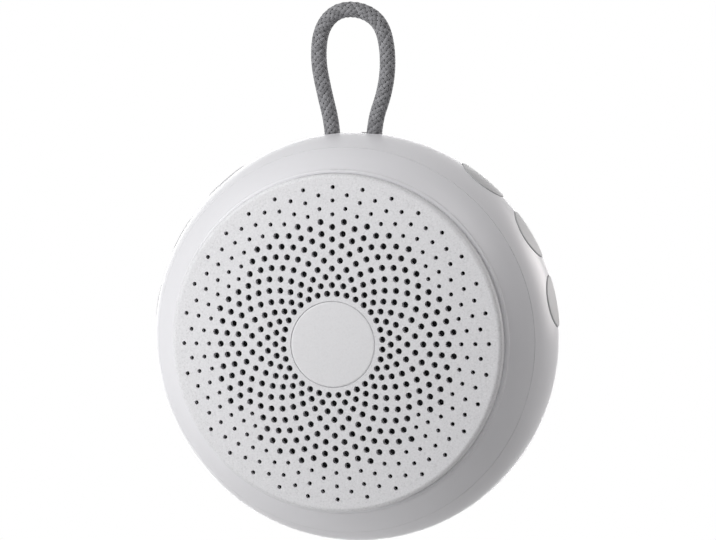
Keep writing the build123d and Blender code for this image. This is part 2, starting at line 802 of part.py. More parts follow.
# ---------------------------------------------------------------- board and what is on it
def main_board():
    """Ring-shaped board with a tab for the USB socket and notches for the casing's posts."""
    tab_root = board_r - board_tab_half
    tab = Rectangle(2 * board_tab_half, board_tab_u - tab_root)
    section = Circle(board_r) - Circle(board_bore_r) + Pos(0, (board_tab_u + tab_root) / 2) * tab
    front = Plane(origin=(0, board_y, 0), x_dir=(1, 0, 0), z_dir=(0, 1, 0))
    board = front * extrude(section, board_thick)
    low = board_y - board_thick
    high = board_back_y + board_thick
    relief_r = case_post_r + post_relief
    board -= rods(case_screw_angles, case_screw_place_r, low, high, relief_r)
    notch = Box(2 * relief_r, high - low, board_r)
    for angle in case_screw_angles:
        plane = rim_plane(angle, (low + high) / 2)
        board -= plane * Pos(0, 0, case_screw_place_r + board_r / 2) * notch
    return board - rods(board_screw_angles, board_screw_place_r, low, high, screw_r + screw_clear)


def on_board(angle, r, size, edge=chip_edge):
    """Moulded block on the board's front face; its size is width, height and depth."""
    piece = Box(*size)
    piece = chamfer(piece.edges().filter_by(Axis.Y), edge)
    return rim_plane(angle, board_y - size[1] / 2) * Pos(0, 0, r) * piece


def leg_places(count, pitch):
    """Offsets of a row of legs from its middle."""
    return [(n - (count - 1) / 2) * pitch for n in range(count)]


def sound_chip():
    """Square chip with legs on its four sides."""
    width, _, depth = sound_chip_size
    plane = rim_plane(sound_chip_angle, board_y - leg_thick / 2) * Pos(0, 0, chip_ring_r)
    chip = on_board(sound_chip_angle, chip_ring_r, sound_chip_size)
    for offset in leg_places(sound_leg_count, sound_leg_pitch):
        chip += plane * Pos(offset, 0, 0) * Box(leg_width, leg_thick, depth + 2 * leg_reach)
        chip += plane * Pos(0, 0, offset) * Box(width + 2 * leg_reach, leg_thick, leg_width)
    return chip


def amplifier_chip():
    """Chip with legs on two sides."""
    plane = rim_plane(amplifier_angle, board_y - leg_thick / 2) * Pos(0, 0, chip_ring_r)
    chip = on_board(amplifier_angle, chip_ring_r, amplifier_size)
    for offset in leg_places(amplifier_leg_count, amplifier_leg_pitch):
        leg = Box(leg_width, leg_thick, amplifier_size[2] + 2 * leg_reach)
        chip += plane * Pos(offset, 0, 0) * leg
    return chip


def charge_chip():
    return on_board(charger_angle, chip_ring_r, charger_size)


def charge_coil():
    return on_board(coil_angle, chip_ring_r + coil_offset, coil_size, coil_size[0] / 5)


def smoothing_capacitors():
    """Two upright cans on the board's front."""
    cans = []
    for can in rods(capacitor_angles, chip_ring_r, board_y - capacitor_height, board_y, capacitor_r):
        cans.append(fillet(can.edges().sort_by(Axis.Y)[0], capacitor_edge))
    return cans


def small_parts():
    """Resistors and ceramic capacitors behind the switches and between the chips."""
    angles = list(small_part_angles)
    for angle in button_angles.values():
        angles += [angle - small_part_swing, angle + small_part_swing]
    return [on_board(angle, small_part_ring_r, small_part_size, small_edge) for angle in angles]


def usb_socket():
    shell = extrude(usb_profile(0) - usb_profile(-usb_shell), usb_length)
    back = extrude(usb_profile(-usb_shell / 2), usb_back)
    return rim_plane(180, usb_y) * Pos(0, 0, usb_back_u) * (shell + back)


def usb_tongue():
    profile = RectangleRounded(2 * tongue_half, tongue_plate, tongue_plate / 2.5)
    tongue = extrude(profile, usb_length - usb_back - tongue_short)
    return rim_plane(180, usb_y) * Pos(0, 0, usb_back_u + usb_back) * tongue


def status_light():
    return on_board(light_angle, board_r - light_size[2] / 2, light_size)


def light_pipe():
    pipe = Cylinder(light_pipe_r, rim_r(light_y) - light_pipe_u, align=UPWARD)
    return rim_plane(light_angle, light_y) * Pos(0, 0, light_pipe_u) * pipe


# ---------------------------------------------------------------- power and wiring
def battery_cell():
    x = battery_width / 2
    z = battery_height / 2
    cell = brick(-x, x, battery_y, battery_back_y, -z, z)
    return fillet(cell.edges().filter_by(Axis.Z), battery_edge)


def battery_foam():
    x = battery_width / 2 - foam_inset
    z = battery_height / 2 - foam_inset
    return brick(-x, x, battery_back_y, inner_back_y, -z, z)


def battery_plug():
    """Plug and header on the back of the board."""
    x = plug_width / 2
    z = plug_depth / 2
    y = board_back_y + plug_height
    return brick(-x, x, board_back_y, y, battery_plug_z - z, battery_plug_z + z)


def battery_leads():
    """Two leads from the end of the cell, turning down into the plug."""
    lead_y = battery_y + battery_thick / 2
    leads = []
    for x in (-wire_half_gap, wire_half_gap):
        points = [
            (x, lead_y, battery_height / 2),
            (x, lead_y, battery_plug_z),
            (x, board_back_y + plug_height, battery_plug_z),
        ]
        leads.append(tube("battery lead", points, wire_r))
    return leads


def speaker_plug():
    return on_board(speaker_plug_angle, speaker_plug_r, (plug_width, plug_height, plug_depth))


def speaker_leads():
    """Two leads from the speaker's lugs to the plug on the board's front."""
    start_y = speaker_y + 3 * sheet
    end_y = board_y - plug_height
    run = (end_y - start_y) / 3
    leads = []
    for x in (-wire_half_gap, wire_half_gap):
        points = [
            (x, start_y, terminal_u),
            (x, start_y + run, terminal_u),
            (x, end_y - run, speaker_plug_r),
            (x, end_y, speaker_plug_r),
        ]
        leads.append(rim_plane(speaker_plug_angle, 0) * tube("speaker lead", points, wire_r))
    return leads


# ---------------------------------------------------------------- rope and fasteners
def rope_loop():
    return tube("rope", [(x, 0, body_r + height) for x, height in rope_route], rope_r)


def rope_stops():
    """Crimped sleeves that keep the rope's ends inside the rim."""
    sleeve = Cylinder(rope_r + stop_wall, stop_length, align=UPWARD)
    sleeve -= Cylinder(rope_r + rope_fit, stop_length, align=UPWARD)
    return [Pos(x, 0, stop_z) * sleeve for x in (-rope_x, rope_x)]


def screws(angles, r, head_y, length, head_side):
    """Screws along the axis; head_side is 1 for heads at the back and -1 for heads at the front."""
    places = [at_angle(angle, r) for angle in angles]
    return [Plane(origin=(x, head_y, z), z_dir=(0, head_side, 0)) * screw(length) for x, z in places]


def case_screws():
    head_y = case_joint_y + case_post_floor
    return screws(case_screw_angles, case_screw_place_r, head_y, case_post_floor + case_thread, 1)


def speaker_screws():
    length = sheet + speaker_thread - pilot_spare
    return screws(ear_angles, ear_place_r, speaker_y + sheet, length, 1)


def board_screws():
    length = board_thick + board_thread
    return screws(board_screw_angles, board_screw_place_r, board_y, length, -1)


# ---------------------------------------------------------------- write every node
os.makedirs("parts", exist_ok=True)

for piece in (
    grille_plate,
    badge_disc,
    dust_cloth,
    front_shell,
    rear_shell,
    back_foot,
    speaker_gasket,
    speaker_basket,
    speaker_surround,
    speaker_cone,
    speaker_dust_cap,
    voice_coil_former,
    voice_coil_winding,
    speaker_spider,
    speaker_top_plate,
    speaker_magnet,
    speaker_yoke,
    speaker_terminals,
    main_board,
    sound_chip,
    amplifier_chip,
    charge_chip,
    charge_coil,
    usb_socket,
    usb_tongue,
    status_light,
    light_pipe,
    battery_cell,
    battery_foam,
    battery_plug,
    speaker_plug,
    rope_loop,
):
    write(piece.__name__, piece())

for group in (
    switch_bodies,
    smoothing_capacitors,
    small_parts,
    battery_leads,
    speaker_leads,
    rope_stops,
    case_screws,
    speaker_screws,
    board_screws,
):
    write(group.__name__, *group())

for name, angle in button_angles.items():
    place = rim_plane(angle, button_y)
    write(f"{name}_button", place * button_cap())
    write(f"{name}_plunger", place * plunger())
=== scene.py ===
"""Looks of a white noise machine: casing, grille, keys, rope loop and all that is inside."""

import logging
from dataclasses import dataclass, field
from enum import Enum
from math import asin, atan2, cos, pi, radians, sin, sqrt
from typing import Iterable, Mapping, Protocol, Sequence, Union

import bpy
from mathutils import Matrix, Vector


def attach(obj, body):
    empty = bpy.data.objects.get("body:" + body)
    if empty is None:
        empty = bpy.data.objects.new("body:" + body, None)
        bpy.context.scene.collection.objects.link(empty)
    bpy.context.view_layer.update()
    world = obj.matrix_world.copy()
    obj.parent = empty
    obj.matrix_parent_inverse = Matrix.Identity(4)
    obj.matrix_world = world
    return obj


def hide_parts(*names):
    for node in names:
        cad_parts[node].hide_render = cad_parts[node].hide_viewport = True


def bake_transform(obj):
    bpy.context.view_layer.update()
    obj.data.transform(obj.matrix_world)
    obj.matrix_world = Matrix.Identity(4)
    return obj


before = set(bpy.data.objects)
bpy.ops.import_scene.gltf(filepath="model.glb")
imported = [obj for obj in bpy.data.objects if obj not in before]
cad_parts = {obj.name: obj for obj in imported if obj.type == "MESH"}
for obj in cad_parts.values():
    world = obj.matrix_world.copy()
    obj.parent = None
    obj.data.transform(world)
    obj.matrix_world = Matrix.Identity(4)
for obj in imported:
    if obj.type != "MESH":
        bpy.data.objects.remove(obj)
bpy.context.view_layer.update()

log = logging.getLogger("sound_machine")

Colour = tuple[float, float, float]
Place = tuple[float, float, float]
Face = tuple[int, ...]
Mark = tuple[float, float, float, float]

MM = 0.001
AXIS_HEIGHT = -72.1 * MM  # the body's own axis, below the hang point
BODY_CENTRE = Vector((0.0, 0.0, AXIS_HEIGHT))
CROWN_Y = -22.912 * MM  # the foremost point of the grille
DEPTH_WAY = Vector((0.0, 1.0, 0.0))  # from the grille to the back
FULL_WHITE = (1.0, 1.0, 1.0)
NEAR_BLACK = (0.02, 0.02, 0.02)

# Sockets of the Mix node for colours, by number.
MIX_SHARE, MIX_FIRST, MIX_SECOND, MIX_RESULT = 0, 6, 7, 2


# ---------------------------------------------------------------- shader sums
@dataclass(frozen=True)
class Value:
    """An output of a material's nodes; sums written with it add Math nodes."""

    graph: "Graph"
    socket: bpy.types.NodeSocket

    def math(self, operation: str, *terms: "Feed", clamp: bool = False) -> "Value":
        """Adds one Math node.

        Args:
            operation: the node's operation.
            terms: its inputs in order.
            clamp: whether the result is kept between 0 and 1.

        Returns:
            The node's output.
        """
        settings = {"operation": operation, "use_clamp": clamp}
        return self.graph.node("ShaderNodeMath", settings, dict(enumerate(terms)))

    def __add__(self, other: "Feed") -> "Value":
        """Sum."""
        return self.math("ADD", self, other)

    def __radd__(self, other: "Feed") -> "Value":
        """Sum, with the value second."""
        return self.math("ADD", other, self)

    def __sub__(self, other: "Feed") -> "Value":
        """Difference."""
        return self.math("SUBTRACT", self, other)

    def __rsub__(self, other: "Feed") -> "Value":
        """Difference, with the value second."""
        return self.math("SUBTRACT", other, self)

    def __mul__(self, other: "Feed") -> "Value":
        """Product."""
        return self.math("MULTIPLY", self, other)

    def __rmul__(self, other: "Feed") -> "Value":
        """Product, with the value second."""
        return self.math("MULTIPLY", other, self)

    def __gt__(self, other: "Feed") -> "Value":
        """1 where the value is greater, else 0."""
        return self.math("GREATER_THAN", self, other)

    def __abs__(self) -> "Value":
        """The value without its sign."""
        return self.math("ABSOLUTE", self)

    def clamped(self) -> "Value":
        """The value kept between 0 and 1."""
        return self.math("ADD", self, 0.0, clamp=True)

    def step(self, low: float, high: float) -> "Value":
        """Smooth rise from 0 to 1.

        Args:
            low: where the rise starts.
            high: where it ends.

        Returns:
            The rise.
        """
        settings = {"interpolation_type": "SMOOTHSTEP", "clamp": True}
        feeds = {"Value": self, "From Min": low, "From Max": high}
        return self.graph.node("ShaderNodeMapRange", settings, feeds)

    def ridge(self, place: float, width: float) -> "Value":
        """1 at a place and 0 from width away on both sides."""
        return 1.0 - abs(self - place).step(0.0, width)


Feed = Union[Value, float, Colour, Sequence[float]]


class Graph:
    """The nodes of one material, or of the surround."""

    def __init__(self, owner: Union[bpy.types.Material, bpy.types.World]) -> None:
        """Empties the nodes of a material or a world.

        Args:
            owner: the material or the world.
        """
        owner.use_nodes = True
        self.tree = owner.node_tree
        self.tree.nodes.clear()

    def node(
        self,
        kind: str,
        settings: Mapping[str, object] | None = None,
        feeds: Mapping[Union[int, str], Feed] | None = None,
        output: Union[int, str] = 0,
    ) -> Value:
        """Adds a node of any kind.

        Args:
            kind: the node's type.
            settings: its properties, which are set first.
            feeds: values or links by a socket's name or number.
            output: the output that is wanted.

        Returns:
            That output.
        """
        made = self.tree.nodes.new(kind)
        for key, setting in (settings or {}).items():
            setattr(made, key, setting)
        for key, feed in (feeds or {}).items():
            self.feed(made.inputs[key], feed)
        return Value(self, made.outputs[output])

    def feed(self, socket: bpy.types.NodeSocket, feed: Feed) -> None:
        """Links a value to a socket, or sets a number or a colour on it.

        Args:
            socket: the input.
            feed: what it gets.
        """
        if isinstance(feed, Value):
            self.tree.links.new(feed.socket, socket)
        elif socket.type == "RGBA" and len(feed) == 3:
            socket.default_value = (*feed, 1.0)
        else:
            socket.default_value = feed

    def mix(self, share: Feed, first: Feed, second: Feed) -> Value:
        """Mixes two colours.

        Args:
            share: how much of the second shows, from 0 to 1.
            first: a colour.
            second: a colour.

        Returns:
            The mixed colour.
        """
        settings = {"data_type": "RGBA", "clamp_factor": True}
        feeds = {MIX_SHARE: share, MIX_FIRST: first, MIX_SECOND: second}
        return self.node("ShaderNodeMix", settings, feeds, MIX_RESULT)

    def vector(self, operation: str, *terms: Feed, output: int = 0) -> Value:
        """Adds one Vector Math node.

        Args:
            operation: the node's operation.
            terms: its inputs in order.
            output: 0 for a vector, 1 for a number.

        Returns:
            The node's output.
        """
        settings = {"operation": operation}
        return self.node("ShaderNodeVectorMath", settings, dict(enumerate(terms)), output)

    def place(self) -> Value:
        """Where a point of the piece is, in metres, in the frame of the whole machine."""
        return self.node("ShaderNodeTexCoord", output="Object")

    def parts(self, vector: Value) -> tuple[Value, Value, Value]:
        """Splits a vector.

        Args:
            vector: what is split.

        Returns:
            Its three numbers.
        """
        split = self.node("ShaderNodeSeparateXYZ", feeds={0: vector})
        x, y, z = split.socket.node.outputs
        return Value(self, x), Value(self, y), Value(self, z)

    def joined(self, x: Feed, y: Feed, z: Feed) -> Value:
        """A vector of three numbers."""
        return self.node("ShaderNodeCombineXYZ", feeds={0: x, 1: y, 2: z})

    def radius(self) -> Value:
        """Measures from the body's own axis.

        Returns:
            The distance, in metres.
        """
        x, _, z = self.parts(self.place())
        flat = self.joined(x, z - AXIS_HEIGHT, 0.0)
        return self.vector("LENGTH", flat, output=1)

    def round_angle(self) -> Value:
        """Angle round the body's own axis, from -pi to pi."""
        x, _, z = self.parts(self.place())
        return x.math("ARCTAN2", x, z - AXIS_HEIGHT)

    def noise(
        self, size: float, detail: float = 2.0, at: Value | None = None, rough: float = 0.5
    ) -> Value:
        """Cloudy noise from 0 to 1.

        Args:
            size: width of its spots, in metres.
            detail: how many finer layers it has.
            at: where it is read, the piece's own place if left out.
            rough: how strong the finer layers are.

        Returns:
            The noise.
        """
        feeds = {
            "Vector": at or self.place(),
            "Scale": 1.0 / size,
            "Detail": detail,
            "Roughness": rough,
        }
        return self.node("ShaderNodeTexNoise", {"noise_dimensions": "3D"}, feeds)

    def cells(
        self, size: float, kind: str = "F1", at: Value | None = None, output: str = "Distance"
    ) -> Value:
        """Cell pattern.

        Args:
            size: width of a cell, in metres.
            kind: which distance it gives.
            at: where it is read, the piece's own place if left out.
            output: the output that is wanted.

        Returns:
            That output.
        """
        feeds = {"Vector": at or self.place(), "Scale": 1.0 / size}
        return self.node("ShaderNodeTexVoronoi", {"feature": kind}, feeds, output)

    def wave(self, along: Value, length: float) -> Value:
        """A sine from 0 to 1 along a number, with that wavelength."""
        turns = along * (2.0 * pi / length)
        return turns.math("SINE", turns) * 0.5 + 0.5

    def bump(self, height: Value, depth: float) -> Value:
        """Relief on the surface.

        Args:
            height: its height from 0 to 1.
            depth: the depth of 1, in metres.

        Returns:
            The normal.
        """
        feeds = {"Height": height, "Distance": depth, "Strength": 1.0}
        return self.node("ShaderNodeBump", None, feeds)

    def shader(self, feeds: Mapping[str, Feed]) -> Value:
        """One Principled shader with those sockets."""
        return self.node("ShaderNodeBsdfPrincipled", None, feeds)

    def finish(self, shader: Value, kind: str = "ShaderNodeOutputMaterial") -> None:
        """Sends a shader to the output node of that kind."""
        output = self.tree.nodes.new(kind)
        self.tree.links.new(shader.socket, output.inputs["Surface"])


def tint(colour: Colour, share: float) -> Colour:
    """A colour made lighter or darker by a share."""
    return tuple(min(1.0, part * (1.0 + share)) for part in colour)


# ---------------------------------------------------------------- finishes
@dataclass(frozen=True)
class Finish:
    """What every finish has: a name and a main colour."""

    name: str
    colour: Colour

    def sockets(self, graph: Graph) -> dict[str, Feed]:
        """The shader's sockets, by name."""
        raise NotImplementedError

    def material(self) -> bpy.types.Material:
        """Builds the material, or gives the one that was built before.

        Returns:
            The material.
        """
        known = bpy.data.materials.get(self.name)
        if known is not None:
            return known
        material = bpy.data.materials.new(self.name)
        graph = Graph(material)
        graph.finish(graph.shader(self.sockets(graph)))
        return material


@dataclass(frozen=True)
class Moulded(Finish):
    """Moulded plastic: faint clouds, a fine skin and places that hands have polished."""

    roughness: float = 0.42
    clouds: float = 0.02
    cloud_size: float = 14 * MM
    skin_size: float = 0.35 * MM
    skin_depth: float = 0.006 * MM
    specular: float = 0.45
    handling: float = 0.12  # change of roughness where hands have been
    skin_change: float = 0.06  # and from the skin

    def clouded(self, graph: Graph) -> Value:
        """The main colour with its faint clouds."""
        clouds = graph.noise(self.cloud_size, 3.0)
        return graph.mix(clouds, tint(self.colour, -self.clouds), tint(self.colour, self.clouds))

    def sockets(self, graph: Graph) -> dict[str, Feed]:
        """The shader's sockets.

        Args:
            graph: the material's nodes.

        Returns:
            What each socket gets, by its name.
        """
        skin = graph.noise(self.skin_size, 2.0)
        handled = graph.noise(self.cloud_size * 0.6, 4.0, rough=0.62)
        change = self.roughness + (handled - 0.5) * self.handling
        return {
            "Base Color": self.clouded(graph),
            "Roughness": change + (skin - 0.5) * self.skin_change,
            "Specular IOR Level": self.specular,
            "Normal": graph.bump(skin, self.skin_depth),
        }


@dataclass(frozen=True)
class Stippled(Moulded):
    """Moulded plastic from an etched tool: a fine even grain, with painted shade in its pits and
    painted highlight on its crests.
    """

    grain_size: float = 0.42 * MM
    grain_depth: float = 0.035 * MM
    # share of painted shade and highlight in the grain
    painted_grain_shading: float = 0.10

    def sockets(self, graph: Graph) -> dict[str, Feed]:
        """The shader's sockets.

        Args:
            graph: the material's nodes.

        Returns:
            What each socket gets, by its name.
        """
        grain = graph.noise(self.grain_size, 3.0, rough=0.6)
        pits = 1.0 - grain.step(0.34, 0.47)
        crests = grain.step(0.54, 0.68)
        # Painted shade in the grain's pits and painted highlight on its crests.
        pitted = graph.mix(pits * 0.7, self.clouded(graph), tint(self.colour, -self.painted_grain_shading * 1.6))
        colour = graph.mix(crests * 0.8, pitted, tint(self.colour, self.painted_grain_shading))
        return {
            "Base Color": colour,
            "Roughness": self.roughness + pits * 0.12 - crests * 0.05,
            "Specular IOR Level": self.specular,
            "Normal": graph.bump(grain, self.grain_depth),
        }


@dataclass(frozen=True)
class Shell(Moulded):
    """The casing's plastic: satin, more polished round the rim, a little darker and rougher in
    patches along the seam and round the grille's lip.
    """

    body_r: float = 46.0 * MM
    polished_r: float = 42.5 * MM  # the rim is more polished outside it
    seam_y: float = -11.16 * MM  # middle of the seam's darker patches
    seam_width: float = 0.32 * MM
    seam_r: float = 41.0 * MM
    lip_r: float = 37.45 * MM
    lip_width: float = 0.25 * MM
    lip_front: float = -17.6 * MM
    lip_back: float = -16.4 * MM
    dust_size: float = 1.1 * MM
    # the colour that the seam and the lip are darkened towards
    dust: Colour = (0.42, 0.415, 0.40)
    scuff_width: float = 0.34 * MM
    scuff_waves: float = 9.0 * MM  # apart, along a scuff
    scuff_bend: float = 7.0 * MM
    scuff_patches: float = 6.0 * MM

    def sockets(self, graph: Graph) -> dict[str, Feed]:
        """The shader's sockets.

        Args:
            graph: the material's nodes.

        Returns:
            What each socket gets, by its name.
        """
        made = super().sockets(graph)
        radius = graph.radius()
        _, y, _ = graph.parts(graph.place())
        rim = radius.step(self.polished_r, self.body_r)
        seam = y.ridge(self.seam_y, self.seam_width) * radius.step(self.seam_r, self.seam_r + MM)
        ahead = 1.0 - y.step(self.lip_front, self.lip_back)
        lip = radius.ridge(self.lip_r, self.lip_width) * ahead
        dust = graph.noise(self.dust_size, 4.0, rough=0.7).step(0.30, 0.62)
        # Darker and rougher in patches along the seam and, half as much, round the lip.
        seam_darkening = ((seam + lip * 0.5) * dust).clamped()
        scuffs = self._scuffs(graph) * rim
        colour = graph.mix(seam_darkening * 0.10, made["Base Color"], self.dust)
        colour = graph.mix(scuffs * 0.25, colour, tint(self.colour, -0.10))
        made["Base Color"] = colour
        made["Roughness"] = made["Roughness"] - rim * 0.06 + scuffs * 0.16 + seam_darkening * 0.2
        return made

    def _scuffs(self, graph: Graph) -> Value:
        """Short hair lines that handling leaves.

        Args:
            graph: the material's nodes.

        Returns:
            1 on a line, else 0.
        """
        x, y, z = graph.parts(graph.place())
        bent = graph.noise(self.scuff_waves, 1.0) * self.scuff_bend
        drawn = graph.joined(x * 0.12 + bent, y + bent, z * 0.9 - bent)
        lines = graph.noise(self.scuff_width, 1.0, at=drawn)
        where = graph.noise(self.scuff_patches, 2.0).step(0.56, 0.70)
        return lines.step(0.70, 0.76) * where


@dataclass(frozen=True)
class Rubber(Finish):
    """Matt rubber or foam skin with fine dust on it."""

    roughness: float = 0.78
    grain_size: float = 0.18 * MM
    grain_depth: float = 0.02 * MM
    dust_size: float = 2.4 * MM
    dust: Colour = (0.5, 0.49, 0.47)

    def sockets(self, graph: Graph) -> dict[str, Feed]:
        """The shader's sockets.

        Args:
            graph: the material's nodes.

        Returns:
            What each socket gets, by its name.
        """
        grain = graph.noise(self.grain_size, 3.0)
        dust = graph.noise(self.dust_size, 5.0, rough=0.7).step(0.46, 0.8)
        return {
            "Base Color": graph.mix(dust * 0.14, self.colour, self.dust),
            "Roughness": self.roughness + (grain - 0.5) * 0.15,
            "Normal": graph.bump(grain, self.grain_depth),
            "Sheen Weight": 0.12,
        }


@dataclass(frozen=True)
class Foam(Finish):
    """Open-celled foam: round cells with painted shade in their hollows and painted highlight on
    their thin walls.
    """

    cell: float = 0.55 * MM
    cell_depth: float = 0.15 * MM

    def sockets(self, graph: Graph) -> dict[str, Feed]:
        """The shader's sockets.

        Args:
            graph: the material's nodes.

        Returns:
            What each socket gets, by its name.
        """
        walls = graph.cells(self.cell, "DISTANCE_TO_EDGE")
        open_part = walls.step(0.04, 0.22)
        return {
            # Painted shade in the cells' hollows and painted highlight on their walls.
            "Base Color": graph.mix(open_part, tint(self.colour, 0.5), tint(self.colour, -0.45)),
            "Roughness": 0.92 - open_part * 0.08,
            "Normal": graph.bump(1.0 - open_part, self.cell_depth),
            "Sheen Weight": 0.2,
        }


@dataclass(frozen=True)
class Woven(Finish):
    """Plain weave: two sets of threads that pass over and under each other, with painted shade in
    the dips and painted highlight on the crests.
    """

    thread: float = 0.32 * MM
    waver_size: float = 3.0 * MM
    fibre_size: float = 0.06 * MM
    depth: float = 0.05 * MM
    # how much lighter the threads' crests are painted, as painted highlight
    light: float = 0.55
    roughness: float = 0.88

    def sockets(self, graph: Graph) -> dict[str, Feed]:
        """The shader's sockets.

        Args:
            graph: the material's nodes.

        Returns:
            What each socket gets, by its name.
        """
        x, _, z = graph.parts(graph.place())
        waver = (graph.noise(self.waver_size, 2.0) - 0.5) * (0.4 * self.thread)
        across = graph.wave(x + waver, self.thread)
        down = graph.wave(z + waver, self.thread)
        wide, tall = graph.wave(x, 2 * self.thread), graph.wave(z, 2 * self.thread)
        which = (wide * tall + (1.0 - wide) * (1.0 - tall)).step(0.30, 0.55)
        height = across * which + down * (1.0 - which)
        fibre = graph.noise(self.fibre_size, 2.0)
        # Painted shade and highlight: each thread is darker at its sides and lighter on its crest.
        dark, light = tint(self.colour, -0.45), tint(self.colour, self.light)
        return {
            "Base Color": graph.mix(height * 0.75 + fibre * 0.25, dark, light),
            "Roughness": self.roughness + (fibre - 0.5) * 0.12,
            "Normal": graph.bump(height + fibre * 0.25, self.depth),
            "Sheen Weight": 0.25,
        }


@dataclass(frozen=True)
class Yarn(Finish):
    """Braided yarn: filaments along each strand, with painted shade where it dives under another
    and on the core between the strands.
    """

    pale: Colour = (0.335, 0.335, 0.352)
    painted_braid_shade: Colour = (0.05, 0.05, 0.055)
    filament_depth: float = 0.05 * MM

    def sockets(self, graph: Graph) -> dict[str, Feed]:
        """The shader's sockets.

        Args:
            graph: the material's nodes.

        Returns:
            What each socket gets, by its name.
        """
        along, across, _ = graph.parts(graph.node("ShaderNodeUVMap", {"uv_map": "yarn"}))
        strand = graph.node("ShaderNodeAttribute", {"attribute_name": "strand"}, output="Fac")
        depth = graph.node("ShaderNodeAttribute", {"attribute_name": "depth"}, output="Fac")
        twist = across + along * 0.35
        drawn = graph.joined(along * 0.5, twist * 11.0, strand * 37.0)
        filament = graph.noise(1.0, 3.0, at=drawn, rough=0.6)
        fleck = graph.noise(1.0, 2.0, at=graph.joined(along * 1.2, across * 2.0, strand * 91.0))
        tone = graph.mix(strand, tint(self.colour, -0.28), self.pale)
        lit = filament.step(0.36, 0.66) * 0.4 + 0.5
        drawn_tone = graph.mix(lit, tint(self.colour, -0.5), tone)
        flecked = graph.mix(fleck.step(0.60, 0.80) * 0.25, drawn_tone, self.pale)
        return {
            # Painted shade: near-black where a strand lies low in the braid, and on the core.
            "Base Color": graph.mix(depth.step(0.0, 0.75), self.painted_braid_shade, flecked),
            "Roughness": 0.72 + (filament - 0.5) * 0.2,
            "Normal": graph.bump(filament, self.filament_depth),
            "Sheen Weight": 0.3,
            "Sheen Roughness": 0.4,
        }


@dataclass(frozen=True)
class Pressed(Finish):
    """Pressed paper pulp: short fibres every way, and faint rings from the press."""

    fibre: float = 0.16 * MM
    bend_size: float = 1.6 * MM
    bend: float = 5.0 * MM
    ring: float = 1.3 * MM
    depth: float = 0.05 * MM

    def sockets(self, graph: Graph) -> dict[str, Feed]:
        """The shader's sockets.

        Args:
            graph: the material's nodes.

        Returns:
            What each socket gets, by its name.
        """
        x, y, z = graph.parts(graph.place())
        bend = graph.noise(self.bend_size, 2.0) * self.bend
        one_way = graph.noise(self.fibre, 2.0, at=graph.joined(x * 0.25 + bend, y, z + bend))
        other_way = graph.noise(self.fibre, 2.0, at=graph.joined(x + bend, y, z * 0.25 - bend))
        fibres = one_way.math("MAXIMUM", one_way, other_way)
        rings = graph.wave(graph.radius(), self.ring)
        dark, pale = tint(self.colour, -0.15), tint(self.colour, 0.9)
        return {
            "Base Color": graph.mix(fibres.step(0.52, 0.72) * 0.6, dark, pale),
            "Roughness": 0.8 + (fibres - 0.5) * 0.2,
            "Normal": graph.bump(fibres * 0.7 + rings * 0.3, self.depth),
            "Sheen Weight": 0.15,
        }


class Turning(Enum):
    """Which way the marks on a metal piece run."""

    ROUND = "round the axis"
    STRAIGHT = "straight across"
    GRAINY = "no way"


@dataclass(frozen=True)
class Plated(Finish):
    """Plated or painted metal with tool marks and faint stains."""

    roughness: float = 0.3
    metallic: float = 1.0
    turning: Turning = Turning.ROUND
    mark: float = 0.12 * MM  # width of a tool mark
    mark_depth: float = 0.006 * MM
    mark_run: float = 0.4 * MM  # pace of the marks for each radian round the axis
    fine_size: float = 0.25 * MM
    stain_size: float = 3.2 * MM
    stain: Colour = (0.34, 0.31, 0.27)
    stains: float = 0.25

    def sockets(self, graph: Graph) -> dict[str, Feed]:
        """The shader's sockets.

        Args:
            graph: the material's nodes.

        Returns:
            What each socket gets, by its name.
        """
        marks = self._marks(graph)
        stains = graph.noise(self.stain_size, 5.0, rough=0.65).step(0.52, 0.78)
        fine = graph.noise(self.fine_size, 2.0)
        colour = graph.mix(marks, tint(self.colour, -0.10), tint(self.colour, 0.08))
        marked = self.roughness + (marks - 0.5) * 0.12
        return {
            "Base Color": graph.mix(stains * self.stains, colour, self.stain),
            "Metallic": self.metallic,
            "Roughness": marked + stains * 0.15 + (fine - 0.5) * 0.05,
            "Normal": graph.bump(marks * 0.7 + fine * 0.3, self.mark_depth),
        }

    def _marks(self, graph: Graph) -> Value:
        """Marks in the way that the tool went.

        Args:
            graph: the material's nodes.

        Returns:
            The marks, from 0 to 1.
        """
        if self.turning is Turning.GRAINY:
            return graph.noise(self.mark * 3.0, 4.0, rough=0.7)
        x, y, z = graph.parts(graph.place())
        if self.turning is Turning.ROUND:
            drawn = graph.joined(graph.radius(), y, graph.round_angle() * self.mark_run)
        else:
            drawn = graph.joined(x * 0.04, y, z)
        return graph.noise(self.mark, 2.0, at=drawn)


@dataclass(frozen=True)
class Ferrite(Finish):
    """Pressed and ground ferrite: dark grains, ground rings and tiny chips."""

    grain: float = 0.22 * MM
    ring: float = 0.3 * MM
    chip: float = 1.2 * MM
    depth: float = 0.02 * MM

    def sockets(self, graph: Graph) -> dict[str, Feed]:
        """The shader's sockets.

        Args:
            graph: the material's nodes.

        Returns:
            What each socket gets, by its name.
        """
        shade, _, _ = graph.parts(graph.cells(self.grain, output="Color"))
        rings = graph.noise(self.ring, 2.0, at=graph.joined(graph.radius(), 0.0, 0.0))
        chips = graph.noise(self.chip, 4.0).step(0.70, 0.76)
        colour = graph.mix(shade, tint(self.colour, -0.3), tint(self.colour, 0.45))
        return {
            "Base Color": graph.mix(chips * 0.5, colour, tint(self.colour, -0.6)),
            "Metallic": 0.25,
            "Roughness": 0.5 + (shade - 0.5) * 0.16 + (rings - 0.5) * 0.12,
            "Normal": graph.bump(rings * 0.4 + shade * 0.3 - chips * 0.3, self.depth),
        }


